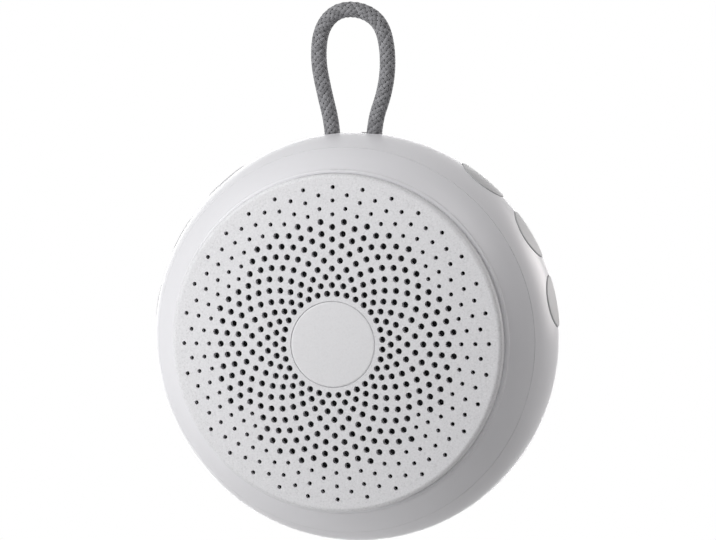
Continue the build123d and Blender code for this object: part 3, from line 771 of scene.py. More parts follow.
@dataclass(frozen=True)
class Winding(Finish):
    """Enamelled wire in neat turns round the axis, with painted shade between the turns."""

    wire: float = 0.16 * MM
    wire_depth: float = 0.05 * MM
    age_size: float = 2.0 * MM
    bright: Colour = (0.85, 0.5, 0.26)

    def sockets(self, graph: Graph) -> dict[str, Feed]:
        """The shader's sockets.

        Args:
            graph: the material's nodes.

        Returns:
            What each socket gets, by its name.
        """
        _, y, _ = graph.parts(graph.place())
        turns = graph.wave(y + graph.round_angle() * (self.wire / (2 * pi)), self.wire)
        age = graph.noise(self.age_size, 3.0)
        crest = graph.mix(age, self.colour, self.bright)
        return {
            # Painted shade: the wire is darkest in the grooves between the turns.
            "Base Color": graph.mix(turns, tint(self.colour, -0.6), crest),
            "Metallic": 0.85,
            "Roughness": 0.24 + (1.0 - turns) * 0.25,
            "Coat Weight": 0.3 + age * 0.3,
            "Normal": graph.bump(turns, self.wire_depth),
        }


@dataclass(frozen=True)
class Film(Finish):
    """Thin amber film with drag lines and a coat of varnish."""

    line: float = 0.2 * MM
    line_depth: float = 0.01 * MM
    pool: float = 1.8 * MM

    def sockets(self, graph: Graph) -> dict[str, Feed]:
        """The shader's sockets.

        Args:
            graph: the material's nodes.

        Returns:
            What each socket gets, by its name.
        """
        x, y, z = graph.parts(graph.place())
        lines = graph.noise(self.line, 2.0, at=graph.joined(x * 0.1, y, z * 0.1))
        pools = graph.noise(self.pool, 2.0)
        return {
            "Base Color": graph.mix(pools, tint(self.colour, -0.25), tint(self.colour, 0.25)),
            "Roughness": 0.25 + lines * 0.15,
            "Coat Weight": 0.4 + pools * 0.3,
            "Normal": graph.bump(lines, self.line_depth),
        }


@dataclass(frozen=True)
class Laminate(Finish):
    """Pressed laminate with threads that show in its surface."""

    thread: float = 0.14 * MM
    drawn_out: float = 0.12  # share of the pattern's pace along a thread
    depth: float = 0.02 * MM

    def sockets(self, graph: Graph) -> dict[str, Feed]:
        """The shader's sockets.

        Args:
            graph: the material's nodes.

        Returns:
            What each socket gets, by its name.
        """
        x, y, z = graph.parts(graph.place())
        threads = graph.noise(self.thread, 2.0, at=graph.joined(x, y, z * self.drawn_out))
        crossing = graph.noise(self.thread, 2.0, at=graph.joined(x * self.drawn_out, y, z))
        mesh = (threads + crossing) * 0.5
        dark, light = tint(self.colour, -0.35), tint(self.colour, 0.4)
        return {
            "Base Color": graph.mix(mesh.step(0.40, 0.62), dark, light),
            "Roughness": 0.5 + (mesh - 0.5) * 0.3,
            "Normal": graph.bump(mesh, self.depth),
        }


@dataclass(frozen=True)
class Board(Finish):
    """Circuit board: solder mask over copper tracks that run round and out, and ringed holes."""

    front: float = 3.0 * MM
    back: float = 4.6 * MM
    skin: float = 0.1 * MM  # a face fades into the edge from one to two skins deep
    middle_r: float = 28.0 * MM
    sectors: float = 18.0  # in each, the tracks run one way
    track: float = 0.9 * MM
    hole: float = 3.1 * MM
    fibre: float = 0.12 * MM
    relief: float = 0.035 * MM
    mask_on_track: Colour = (0.045, 0.30, 0.13)
    glass: Colour = (0.42, 0.38, 0.20)
    pale_glass: Colour = (0.62, 0.57, 0.34)
    pad: Colour = (0.80, 0.66, 0.36)

    def sockets(self, graph: Graph) -> dict[str, Feed]:
        """The shader's sockets.

        Args:
            graph: the material's nodes.

        Returns:
            What each socket gets, by its name.
        """
        _, y, _ = graph.parts(graph.place())
        radius, angle = graph.radius(), graph.round_angle()
        faces = 1.0 - y.step(self.front + self.skin, self.front + 2 * self.skin)
        faces = faces + y.step(self.back - 2 * self.skin, self.back - self.skin)
        tracks = self._tracks(graph, radius, angle) * faces
        hole = graph.cells(self.hole, at=graph.joined(radius, angle * self.middle_r, 0.0))
        ring = hole.ridge(0.13, 0.05) * faces
        core = (1.0 - hole.step(0.07, 0.09)) * faces
        fibre = graph.noise(self.fibre, 2.0)
        mask = graph.mix(tracks, self.colour, self.mask_on_track)
        coated = graph.mix(faces, graph.mix(fibre, self.glass, self.pale_glass), mask)
        return {
            "Base Color": graph.mix(core, graph.mix(ring, coated, self.pad), NEAR_BLACK),
            "Metallic": ring * 0.9,
            "Roughness": 0.32 + (1.0 - faces) * 0.4 - ring * 0.05 + (fibre - 0.5) * 0.06,
            "Coat Weight": faces * 0.3,
            "Normal": graph.bump(tracks * 0.6 + ring * 0.4 - core + fibre * 0.05, self.relief),
        }

    def _tracks(self, graph: Graph, radius: Value, angle: Value) -> Value:
        """Copper that runs round in some sectors and outwards in the others.

        Args:
            graph: the material's nodes.
            radius: distance from the body's own axis.
            angle: angle round it.

        Returns:
            1 on the copper, else 0.
        """
        sector = angle * (self.sectors / 2 / pi)
        sector = sector.math("FLOOR", sector)
        choice = graph.node("ShaderNodeTexWhiteNoise", {"noise_dimensions": "1D"}, {"W": sector})
        round_tracks = graph.wave(radius, self.track).step(0.55, 0.75)
        out_tracks = graph.wave(angle, self.track / self.middle_r).step(0.55, 0.75)
        runs_round = choice > 0.45
        return round_tracks * runs_round + out_tracks * (1.0 - runs_round)


@dataclass(frozen=True)
class Chip(Finish):
    """Moulded chip: a matt grainy body, with tinned legs low down where it has them."""

    leg_y: float = 2.7 * MM
    edge: float = 0.05 * MM
    grain: float = 0.07 * MM
    grain_depth: float = 0.012 * MM
    flow: float = 1.6 * MM
    tin: Colour = (0.62, 0.62, 0.60)
    bright_tin: Colour = (0.78, 0.78, 0.75)

    def sockets(self, graph: Graph) -> dict[str, Feed]:
        """The shader's sockets.

        Args:
            graph: the material's nodes.

        Returns:
            What each socket gets, by its name.
        """
        _, y, _ = graph.parts(graph.place())
        legs = y.step(self.leg_y - self.edge, self.leg_y)
        grain = graph.noise(self.grain, 3.0, rough=0.7)
        flow = graph.noise(self.flow, 2.0)
        body = graph.mix(grain * 0.5 + flow * 0.5, tint(self.colour, -0.3), tint(self.colour, 0.7))
        tin = graph.mix(flow, self.tin, self.bright_tin)
        return {
            "Base Color": graph.mix(legs, body, tin),
            "Metallic": legs * 0.95,
            "Roughness": 0.62 - legs * 0.32 + (grain - 0.5) * 0.15,
            "Normal": graph.bump(grain, self.grain_depth),
        }


@dataclass(frozen=True)
class EndCapped(Finish):
    """Small ceramic part whose ends, round the board, are tinned."""

    ring_r: float = 31.84 * MM
    body_half: float = 0.16 * MM  # bare body to each side of the ring
    edge: float = 0.03 * MM
    grain: float = 0.08 * MM
    grain_depth: float = 0.01 * MM
    batch: float = 4.0 * MM
    dark: Colour = (0.05, 0.05, 0.06)
    tin: Colour = (0.72, 0.72, 0.70)

    def sockets(self, graph: Graph) -> dict[str, Feed]:
        """The shader's sockets.

        Args:
            graph: the material's nodes.

        Returns:
            What each socket gets, by its name.
        """
        aside = abs(graph.radius() - self.ring_r)
        tinned = aside.step(self.body_half, self.body_half + self.edge)
        grain = graph.noise(self.grain, 2.0)
        batch = graph.noise(self.batch, 0.0).step(0.45, 0.55)
        body = graph.mix(batch, self.colour, self.dark)
        body = graph.mix(grain * 0.3, body, tint(self.colour, -0.5))
        return {
            "Base Color": graph.mix(tinned, body, self.tin),
            "Metallic": tinned * 0.95,
            "Roughness": 0.5 - tinned * 0.2 + (grain - 0.5) * 0.12,
            "Normal": graph.bump(grain, self.grain_depth),
        }


@dataclass(frozen=True)
class Can(Finish):
    """Capacitor can: bright drawn aluminium with a dark half-moon on its top and a dark base."""

    top_y: float = -1.2 * MM
    base_y: float = 2.3 * MM
    edge: float = 0.05 * MM
    rim: float = 0.12 * MM
    line: float = 0.1 * MM
    line_depth: float = 0.006 * MM
    stripe: float = 8.0 * MM
    ink: Colour = (0.03, 0.03, 0.05)

    def sockets(self, graph: Graph) -> dict[str, Feed]:
        """The shader's sockets.

        Args:
            graph: the material's nodes.

        Returns:
            What each socket gets, by its name.
        """
        x, y, z = graph.parts(graph.place())
        drawn = graph.noise(self.line, 2.0, at=graph.joined(x, y * 0.05, z))
        top = 1.0 - y.step(self.top_y + self.edge, self.top_y + self.rim)
        stripe = graph.wave(x + z * 0.3, self.stripe).step(0.70, 0.74) * top
        base = y.step(self.base_y, self.base_y + self.edge)
        colour = graph.mix(drawn, tint(self.colour, -0.12), tint(self.colour, 0.1))
        marked = graph.mix(stripe, colour, self.ink)
        return {
            "Base Color": graph.mix(base, marked, NEAR_BLACK),
            "Metallic": (1.0 - base) * (1.0 - stripe * 0.8),
            "Roughness": 0.22 + drawn * 0.14 + base * 0.35,
            "Normal": graph.bump(drawn, self.line_depth),
        }


@dataclass(frozen=True)
class Foil(Finish):
    """Laminated foil of a flat cell: soft creases, a folded seam and a band of amber tape."""

    tape_z: float = -50.4 * MM
    tape_edge: float = 0.1 * MM
    amber: Colour = (0.55, 0.28, 0.04)
    pale_amber: Colour = (0.70, 0.40, 0.08)
    crease: float = 7.0 * MM
    wave: float = 4.5 * MM
    fine: float = 0.3 * MM
    relief: float = 0.18 * MM
    bend_size: float = 6.25 * MM
    reach: float = 6.0 * MM  # how far a crease is pushed about

    def sockets(self, graph: Graph) -> dict[str, Feed]:
        """The shader's sockets.

        Args:
            graph: the material's nodes.

        Returns:
            What each socket gets, by its name.
        """
        _, _, z = graph.parts(graph.place())
        creases = graph.cells(self.crease, "DISTANCE_TO_EDGE", at=self._bent(graph))
        waves = graph.noise(self.wave, 3.0)
        fine = graph.noise(self.fine, 2.0)
        tape = z.step(self.tape_z - self.tape_edge, self.tape_z)
        sheet = graph.mix(waves, tint(self.colour, -0.10), tint(self.colour, 0.06))
        relief = creases.step(0.0, 0.12) * 0.35 + waves * 0.6 + fine * 0.05
        return {
            "Base Color": graph.mix(tape, sheet, graph.mix(fine, self.amber, self.pale_amber)),
            "Metallic": 0.9 - tape * 0.75,
            "Roughness": 0.36 + (waves - 0.5) * 0.15 - tape * 0.08,
            "Normal": graph.bump(relief, self.relief),
        }

    def _bent(self, graph: Graph) -> Value:
        """Pushes the place about, so that creases don't run straight.

        Args:
            graph: the material's nodes.

        Returns:
            The pushed place.
        """
        feeds = {"Vector": graph.place(), "Scale": 1.0 / self.bend_size}
        push = graph.node("ShaderNodeTexNoise", None, feeds, "Color")
        return graph.vector("MULTIPLY_ADD", push, (self.reach,) * 3, graph.place())


@dataclass(frozen=True)
class Leads(Finish):
    """A pair of insulated leads, one of each colour, with a waxy skin."""

    other: Colour = (0.45, 0.02, 0.015)
    split: Place = (1.0, 0.0, 0.0)  # the way from one lead to the other
    offset: float = 0.0
    bloom: Colour = (0.2, 0.12, 0.11)
    skin: float = 0.5 * MM
    scrape: float = 0.12 * MM
    scrape_depth: float = 0.012 * MM

    def sockets(self, graph: Graph) -> dict[str, Feed]:
        """The shader's sockets.

        Args:
            graph: the material's nodes.

        Returns:
            What each socket gets, by its name.
        """
        side = graph.vector("DOT_PRODUCT", graph.place(), self.split, output=1)
        skin = graph.noise(self.skin, 3.0)
        colour = graph.mix(side > self.offset, self.colour, self.other)
        return {
            "Base Color": graph.mix(skin * 0.2, colour, self.bloom),
            "Roughness": 0.42 + (skin - 0.5) * 0.14,
            "Normal": graph.bump(graph.noise(self.scrape, 2.0), self.scrape_depth),
        }


@dataclass(frozen=True)
class Clear(Finish):
    """Clear moulded plastic with a faint tint and flow lines."""

    roughness: float = 0.12
    through: float = 0.85
    flow: float = 0.8 * MM
    flow_depth: float = 0.01 * MM

    def sockets(self, graph: Graph) -> dict[str, Feed]:
        """The shader's sockets.

        Args:
            graph: the material's nodes.

        Returns:
            What each socket gets, by its name.
        """
        flow = graph.noise(self.flow, 3.0)
        return {
            "Base Color": graph.mix(flow, tint(self.colour, -0.05), self.colour),
            "Roughness": self.roughness + flow * 0.1,
            "Transmission Weight": self.through,
            "IOR": 1.49,
            "Normal": graph.bump(flow, self.flow_depth),
        }


CASING = Shell("casing_plastic", (0.724, 0.721, 0.744), roughness=0.40)
GRILLE = Stippled("grille_plastic", (0.712, 0.710, 0.727), roughness=0.50)
BADGE = Stippled(
    "badge_plastic",
    (0.722, 0.720, 0.736),
    roughness=0.46,
    grain_size=0.5 * MM,
    grain_depth=0.012 * MM,
    painted_grain_shading=0.03,
)
# The keys are the casing's white plastic; their grey is painted shade.
SHADED_KEY = Moulded("shaded_key_plastic", (0.50, 0.503, 0.51), roughness=0.48)
FOOT = Rubber("foot_rubber", (0.46, 0.465, 0.47), grain_depth=0.015 * MM)
CLOTH = Woven("dust_cloth_weave", (0.030, 0.030, 0.033))
ROPE = Yarn("rope_yarn", (0.19, 0.19, 0.20))
GASKET = Foam("gasket_foam", (0.035, 0.035, 0.037), cell=0.3 * MM)
BASKET = Plated(
    "basket_paint",
    (0.03, 0.03, 0.033),
    roughness=0.42,
    metallic=0.2,
    turning=Turning.GRAINY,
    stains=0.08,
)
SURROUND = Rubber("surround_rubber", (0.025, 0.025, 0.027), roughness=0.6, dust=(0.2, 0.2, 0.2))
CONE = Pressed("cone_paper", (0.045, 0.045, 0.05))
FORMER = Film("former_film", (0.52, 0.27, 0.05))
COPPER = Winding("coil_wire", (0.66, 0.33, 0.15))
SPIDER = Woven("spider_cloth", (0.62, 0.46, 0.20), thread=0.5 * MM, light=0.3, roughness=0.7)
STEEL = Plated("plate_zinc", (0.56, 0.56, 0.58), roughness=0.3)
MAGNET = Ferrite("magnet_ferrite", (0.05, 0.05, 0.053))
TERMINAL = Laminate("terminal_laminate", (0.25, 0.13, 0.06))
BOARD = Board("board_mask", (0.012, 0.13, 0.055))
CHIP = Chip("chip_epoxy", (0.022, 0.022, 0.024))
SMALL_PART = EndCapped("small_part_ceramic", (0.40, 0.30, 0.19))
CHOKE = Ferrite("choke_ferrite", (0.13, 0.13, 0.14))
CAN = Can("can_aluminium", (0.74, 0.74, 0.75))
SWITCH = Moulded("switch_nylon", (0.04, 0.04, 0.043), roughness=0.5, skin_depth=0.01 * MM)
PLUNGER = Moulded("plunger_nylon", (0.62, 0.55, 0.42), roughness=0.45, skin_depth=0.008 * MM)
SOCKET = Plated("socket_steel", (0.66, 0.66, 0.67), roughness=0.25, turning=Turning.STRAIGHT)
TONGUE = Moulded("socket_tongue", (0.025, 0.025, 0.026), roughness=0.5)
LIGHT = Clear("light_resin", (0.85, 0.85, 0.70), through=0.4)
PIPE = Clear("light_pipe_plastic", (0.90, 0.93, 0.95))
CELL = Foil("cell_foil", (0.70, 0.71, 0.73))
PAD = Foam("pad_foam", (0.06, 0.06, 0.065))
PLUG = Moulded("plug_nylon", (0.72, 0.68, 0.56), roughness=0.45, skin_depth=0.01 * MM)
LEAD_BLACK, LEAD_RED = (0.03, 0.03, 0.032), (0.45, 0.02, 0.015)
SOUND_LEADS_ANGLE = radians(310)
CELL_LEADS = Leads("cell_leads", LEAD_BLACK, other=LEAD_RED)
SOUND_LEADS = Leads(
    "sound_leads",
    LEAD_BLACK,
    other=LEAD_RED,
    split=(cos(SOUND_LEADS_ANGLE), 0.0, -sin(SOUND_LEADS_ANGLE)),
    offset=-AXIS_HEIGHT * sin(SOUND_LEADS_ANGLE),
)
CRIMP = Plated("crimp_brass", (0.60, 0.50, 0.32), roughness=0.32, turning=Turning.STRAIGHT)
SCREW = Plated("screw_zinc", (0.52, 0.52, 0.53), roughness=0.32, mark=0.08 * MM)


# ---------------------------------------------------------------- sub-assemblies
def dress(node: str, finish: Finish) -> None:
    """Gives a carried-over piece its finish.

    Args:
        node: the piece's name.
        finish: what it is made of.
    """
    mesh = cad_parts[node].data
    mesh.materials.clear()
    mesh.materials.append(finish.material())
    log.info("%s: %s", node, finish.name)


def dress_all(finishes: Mapping[str, Finish]) -> None:
    """Gives each named piece its finish."""
    for node, finish in finishes.items():
        dress(node, finish)


def linked(name: str, data: bpy.types.ID) -> bpy.types.Object:
    """Makes an object and puts it in the scene.

    Args:
        name: its name.
        data: its mesh, camera or lamp.

    Returns:
        The object.
    """
    made = bpy.data.objects.new(name, data)
    bpy.context.scene.collection.objects.link(made)
    return made


def mesh_object(name: str, points: Sequence[Vector], faces: Sequence[Face]) -> bpy.types.Object:
    """Makes a smooth mesh object.

    Args:
        name: its name.
        points: its vertices.
        faces: its faces, as numbers of vertices.

    Returns:
        The object, in the scene.
    """
    mesh = bpy.data.meshes.new(name)
    mesh.from_pydata([tuple(point) for point in points], [], faces)
    mesh.validate()
    mesh.shade_smooth()
    return linked(name, mesh)


def tube_faces(first: int, rows: int, around: int) -> list[Face]:
    """Faces of a closed tube.

    Args:
        first: the number of its first vertex.
        rows: how many sections it has.
        around: how many vertices each section has.

    Returns:
        Its sides and its two ends.
    """
    faces: list[Face] = []
    for n in range(rows - 1):
        for k in range(around):
            a, b = first + n * around + k, first + n * around + (k + 1) % around
            faces.append((a, b, b + around, a + around))
    faces.append(tuple(reversed(range(first, first + around))))
    faces.append(tuple(range(first + (rows - 1) * around, first + rows * around)))
    return faces


def turned(r: float, y: float, angle: float) -> Vector:
    """The point at a radius, a Y and an angle round the body's own axis."""
    return BODY_CENTRE + Vector((r * sin(angle), y, r * cos(angle)))


def lathe(name: str, profile: Sequence[tuple[float, float]], count: int = 128) -> bpy.types.Object:
    """Makes a piece that is turned about the body's own axis.

    Args:
        name: its name.
        profile: radius and Y of its section, from the axis round to the axis.
        count: how many steps it has round the axis.

    Returns:
        The object, in the scene.
    """
    points, rows = [], []
    for r, y in profile:
        steps = count if r > 0 else 1
        rows.append([len(points) + n % steps for n in range(count + 1)])
        points += [turned(r, y, 2 * pi * n / count) for n in range(steps)]
    faces = []
    for inner, outer in zip(rows, rows[1:]):
        for n in range(count):
            corners = (inner[n + 1], outer[n + 1], outer[n], inner[n])
            faces.append(tuple(dict.fromkeys(corners)))  # a triangle at the axis
    return mesh_object(name, points, faces)


class Assembly(Protocol):
    """Anything that the scene is built from."""

    def build(self) -> None:
        """Makes it and dresses it."""


@dataclass
class Camera:
    """Camera at the viewing angle: on the machine's left and a little above it."""

    tilt: float = 3.50  # degrees
    turn: float = -13.24  # degrees
    roll: float = 0.88  # degrees
    distance_px: float = 3932.0  # also the focal length, in pixels of a frame 716 wide
    aside_px: float = 25.6
    above_px: float = 74.6
    pixel: float = 0.21936 * MM  # width of a pixel at the crown of the grille
    frame_px: float = 716.0
    sensor: float = 36.0  # millimetres
    nearest: float = 0.05
    farthest: float = 20.0

    def axes(self) -> Matrix:
        """How the camera is turned, about a grille that faces +Z.

        Returns:
            The camera's right, up and back, as rows.
        """
        roll = Matrix.Rotation(radians(self.roll), 3, "Z")
        tilt = Matrix.Rotation(radians(self.tilt), 3, "X")
        return roll @ tilt @ Matrix.Rotation(radians(self.turn), 3, "Y")

    @staticmethod
    def stood_up(v: Vector) -> Vector:
        """A vector about a grille that faces +Z, turned so that the grille faces -Y."""
        return Vector((v.x, -v.z, v.y))

    def build(self) -> None:
        """Makes the scene's camera."""
        data = bpy.data.cameras.new("camera")
        data.sensor_width = self.sensor
        data.lens = self.sensor * self.distance_px / self.frame_px
        data.clip_start, data.clip_end = self.nearest, self.farthest
        camera = linked("camera", data)
        axes = self.axes()
        away = axes.transposed() @ Vector((self.aside_px, self.above_px, self.distance_px))
        right, up, back = (self.stood_up(Vector(row)) for row in axes)
        facing = Matrix((right, up, back)).transposed().to_4x4()
        centre = Vector((0.0, CROWN_Y, AXIS_HEIGHT)) + self.stood_up(away) * self.pixel
        camera.matrix_world = Matrix.Translation(centre) @ facing
        bpy.context.scene.camera = camera
        log.info("camera at %s", tuple(round(part, 3) for part in centre))


@dataclass
class Lamp:
    """One soft square lamp that faces the machine."""

    name: str
    azimuth: float  # degrees from the front, towards +X
    height: float  # degrees above the horizon
    level: float  # light on a surface that faces it; 1 shows a colour as it is written
    size: float = 0.6
    distance: float = 1.1
    colour: Colour = FULL_WHITE

    def build(self) -> None:
        """Makes the lamp, with the power that gives its level from its distance."""
        data = bpy.data.lights.new(self.name, "AREA")
        data.shape = "SQUARE"
        data.size = self.size
        data.energy = self.level * pi**2 * self.distance**2
        data.color = self.colour
        turn, rise = radians(self.azimuth), radians(self.height)
        way = Vector((sin(turn) * cos(rise), -cos(turn) * cos(rise), sin(rise)))
        lamp = linked(self.name, data)
        lamp.location = BODY_CENTRE + way * self.distance
        lamp.rotation_mode = "QUATERNION"
        lamp.rotation_quaternion = (-way).to_track_quat("-Z", "Y")


@dataclass
class Studio:
    """Soft lamps, a white surround and a pale floor well below the hanging machine."""

    ambient: float = 0.03
    floor_z: float = -0.30
    floor_r: float = 0.55
    floor_sides: int = 96
    fade_start: float = 0.35  # of the floor's radius; it fades into the surround from here
    fade_end: float = 0.98
    floor_colour: Colour = (0.80, 0.80, 0.80)
    floor_change: float = 0.01  # of the colour, either way
    floor_grain: float = 1.5 * MM
    lamps: list[Lamp] = field(
        default_factory=lambda: [
            Lamp("key_lamp", -45, 34, level=0.72, size=0.7),
            Lamp("low_lamp", -50, -15, level=0.54, size=0.7),
            Lamp("side_lamp", 60, 45, level=0.33, colour=(1.0, 0.985, 0.985)),
            Lamp("rim_lamp", 142, 12, level=0.32, size=0.5, colour=(1.0, 0.96, 0.95)),
            Lamp("back_lamp", -164, 0, level=0.45, size=0.8),
        ]
    )

    def build(self) -> None:
        """Makes the lamps, the surround and the floor."""
        for lamp in self.lamps:
            lamp.build()
        self._surround()
        self._floor()
        bpy.context.scene.view_settings.view_transform = "Standard"

    @staticmethod
    def _seen(graph: Graph) -> Value:
        """Rays that show the surround: from the camera, in gloss and through clear pieces.

        Args:
            graph: the nodes that ask.

        Returns:
            1 for such a ray, else 0.
        """
        path = graph.node("ShaderNodeLightPath", output="Is Camera Ray")
        outputs = path.socket.node.outputs
        glossy = Value(graph, outputs["Is Glossy Ray"])
        through = Value(graph, outputs["Is Transmission Ray"])
        return (path + glossy + through).clamped()

    def _surround(self) -> None:
        """White for what is seen, and plain soft light for the rest."""
        world = bpy.data.worlds.new("surround")
        bpy.context.scene.world = world
        graph = Graph(world)
        strength = self.ambient + self._seen(graph) * (1.0 - self.ambient)
        feeds = {"Color": FULL_WHITE, "Strength": strength}
        graph.finish(graph.node("ShaderNodeBackground", None, feeds), "ShaderNodeOutputWorld")

    def _floor(self) -> None:
        """A round floor that keeps the machine's shadow and fades into the white surround."""
        count = self.floor_sides
        middle = Vector((0.0, 0.0, self.floor_z))
        angles = [2 * pi * n / count for n in range(count)]
        points = [middle] + [Vector((cos(a), sin(a), 0.0)) * self.floor_r + middle for a in angles]
        faces = [(0, 1 + n, 1 + (n + 1) % count) for n in range(count)]
        floor = mesh_object("floor", points, faces)
        material = bpy.data.materials.new("floor_paper")
        graph = Graph(material)
        x, y, _ = graph.parts(graph.place())
        away = graph.vector("LENGTH", graph.joined(x, y, 0.0), output=1)
        grain = graph.noise(self.floor_grain, 2.0)
        change = self.floor_change
        colour = graph.mix(grain, tint(self.floor_colour, -change), tint(self.floor_colour, change))
        paper = graph.shader({"Base Color": colour, "Roughness": 0.9, "Specular IOR Level": 0.1})
        white = graph.node("ShaderNodeEmission", None, {"Color": FULL_WHITE, "Strength": 1.0})
        fade = away.step(self.floor_r * self.fade_start, self.floor_r * self.fade_end)
        feeds = {0: fade * self._seen(graph), 1: paper, 2: white}
        graph.finish(graph.node("ShaderNodeMixShader", None, feeds))
        floor.data.materials.append(material)


@dataclass
class RopeLoop:
    """Braided loop that the machine hangs by, with its crimped stops inside the rim."""

    route: tuple[tuple[float, float], ...] = (
        (-4.5, -34.1),
        (-4.5, -25.6),
        (-6.6, -16.8),
        (-7.9, -9.6),
        (-7.0, -2.6),
        (-3.2, 1.3),
        (2.5, 1.3),
        (7.0, -1.9),
        (8.4, -8.8),
        (7.7, -16.6),
        (4.5, -25.1),
        (4.5, -34.1),
    )  # X and Z, in millimetres
    diameter: float = 3.6 * MM
    carriers: int = 7  # strands that go each way round
    lay: float = 9.8 * MM  # length of one turn of a strand
    strand_half_width: float = 0.42 * MM
    strand_half_thick: float = 0.15 * MM
    swing: float = 0.09 * MM  # of a strand over and under the others
    core_r: float = 1.30 * MM
    core_sides: int = 20
    steps: int = 5  # points of a strand between two crossings
    sides: int = 8  # of a strand's section
    shades: tuple[float, ...] = (0.45, 0.85, 0.60, 1.0, 0.35, 0.75, 0.90)  # of the strands, in turn
    height: float = 0.55  # of a strand's middle, from 0 low in the braid to 1; lower is darker, as painted shade
    rise: float = 0.3  # how much that changes along a strand, and again round it, so that the inner side of a strand takes painted shade
    spline_order: int = 3
    spline_steps: int = 24

    def line(self) -> list[Vector]:
        """The middle of the rope, read from a smooth spline.

        Returns:
            Points along it.
        """
        curve = bpy.data.curves.new("rope_line", "CURVE")
        curve.dimensions = "3D"
        spline = curve.splines.new("NURBS")
        spline.points.add(len(self.route) - 1)
        for point, (x, z) in zip(spline.points, self.route):
            point.co = (x * MM, 0.0, z * MM, 1.0)
        spline.order_u = self.spline_order
        spline.use_endpoint_u = True
        spline.resolution_u = self.spline_steps
        bare = bpy.data.objects.new("rope_line", curve)
        mesh = bpy.data.meshes.new_from_object(bare)
        points = [vertex.co.copy() for vertex in mesh.vertices]
        bpy.data.meshes.remove(mesh)
        bpy.data.objects.remove(bare)
        bpy.data.curves.remove(curve)
        return points

    @staticmethod
    def spaced(line: Sequence[Vector], count: int) -> tuple[list[Vector], float]:
        """The line again with its points evenly apart.

        Args:
            line: its points.
            count: how many are wanted.

        Returns:
            The new points and the line's length.
        """
        along = [0.0]
        for here, after in zip(line, line[1:]):
            along.append(along[-1] + (after - here).length)
        made, run = [], 0
        for n in range(count):
            at = along[-1] * n / (count - 1)
            while run < len(line) - 2 and along[run + 1] < at:
                run += 1
            share = (at - along[run]) / (along[run + 1] - along[run])
            made.append(line[run].lerp(line[run + 1], share))
        return made, along[-1]

    @staticmethod
    def outward(line: Sequence[Vector], n: int) -> Vector:
        """A unit vector square to the rope, in the loop's plane."""
        ahead = line[min(n + 1, len(line) - 1)] - line[max(n - 1, 0)]
        return Vector((ahead.z, 0.0, -ahead.x)).normalized()

    def core(self, line: Sequence[Vector]) -> tuple[list[Vector], list[Face]]:
        """The core that fills the braid.

        Args:
            line: points down the middle of the rope.

        Returns:
            Its points and faces.
        """
        points = []
        for n, middle in enumerate(line):
            out = self.outward(line, n)
            for k in range(self.core_sides):
                a = 2 * pi * k / self.core_sides
                points.append(middle + (out * cos(a) + DEPTH_WAY * sin(a)) * self.core_r)
        return points, tube_faces(0, len(line), self.core_sides)

    def strand_point(
        self, out: Vector, angle: float, lift: float, side: float, top: float, way: int
    ) -> Vector:
        """One point of a strand's skin, from the rope's middle.

        Args:
            out: the vector square to the rope, in the loop's plane.
            angle: where the strand's middle is, round the rope.
            lift: its distance from the rope's middle.
            side: distance aside from the strand's middle.
            top: distance outwards from it.
            way: 1 or -1, the way that the strand goes round.

        Returns:
            The point, without the run along the rope.
        """
        radial = out * cos(angle) + DEPTH_WAY * sin(angle)
        around = DEPTH_WAY * cos(angle) - out * sin(angle)
        lean = atan2(2 * pi * lift, self.lay)
        forward = Vector((-out.z, 0.0, out.x))
        across = around * cos(lean) - forward * (way * sin(lean))
        return radial * (lift + top) + across * side

    def strand(
        self, line: Sequence[Vector], length: float, carrier: int, way: int
    ) -> tuple[list[Vector], list[Mark]]:
        """One strand from end to end.

        Args:
            line: points down the middle of the rope.
            length: the rope's length.
            carrier: the strand's number among those that go its way.
            way: 1 or -1, the way that it goes round.

        Returns:
            Its points, and for each its run in millimetres, the share of the way round the
            strand, the shade, and how high it lies.
        """
        points: list[Vector] = []
        marks: list[Mark] = []
        middle_r = self.diameter / 2 - self.strand_half_thick - self.swing
        for n, middle in enumerate(line):
            run = n / self.steps
            angle = 2 * pi * carrier / self.carriers + way * pi * run / self.carriers
            wave = cos(pi * (run + (0.0 if way == 1 else 1.0)))
            lift = middle_r + self.swing * wave
            out = self.outward(line, n)
            for k in range(self.sides):
                a = 2 * pi * k / self.sides
                side, top = self.strand_half_width * cos(a), self.strand_half_thick * sin(a)
                points.append(middle + self.strand_point(out, angle, lift, side, top, way))
                # Painted shade: lower where the strand dives under the others and on the inner side
                # of its section.
                high = self.height + self.rise * wave + self.rise * sin(a)
                along = length * n / (len(line) - 1) / MM
                shade = self.shades[carrier % len(self.shades)]
                marks.append((along, k / self.sides, shade, high))
        return points, marks

    def build(self) -> None:
        smooth_line = self.line()
        _, length = self.spaced(smooth_line, 2)
        crossings = round(length / self.lay * 2 * self.carriers)
        line, length = self.spaced(smooth_line, crossings * self.steps + 1)
        points, faces = self.core(line[:: self.steps])
        # The core lies lowest, so it takes the painted shade colour all over.
        marks: list[Mark] = [(0.0, 0.0, 0.0, 0.0)] * len(points)
        for way in (1, -1):
            for carrier in range(self.carriers):
                faces += tube_faces(len(points), len(line), self.sides)
                strand_points, strand_marks = self.strand(line, length, carrier, way)
                points += strand_points
                marks += strand_marks
        braid = mesh_object("rope_braid", points, faces)
        self._mark(braid, marks)
        braid.data.materials.append(ROPE.material())
        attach(braid, "machine")
        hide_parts("rope_loop")
        dress("rope_stops", CRIMP)
        log.info("%s: %s, %.1f mm of it", braid.name, ROPE.name, length / MM)

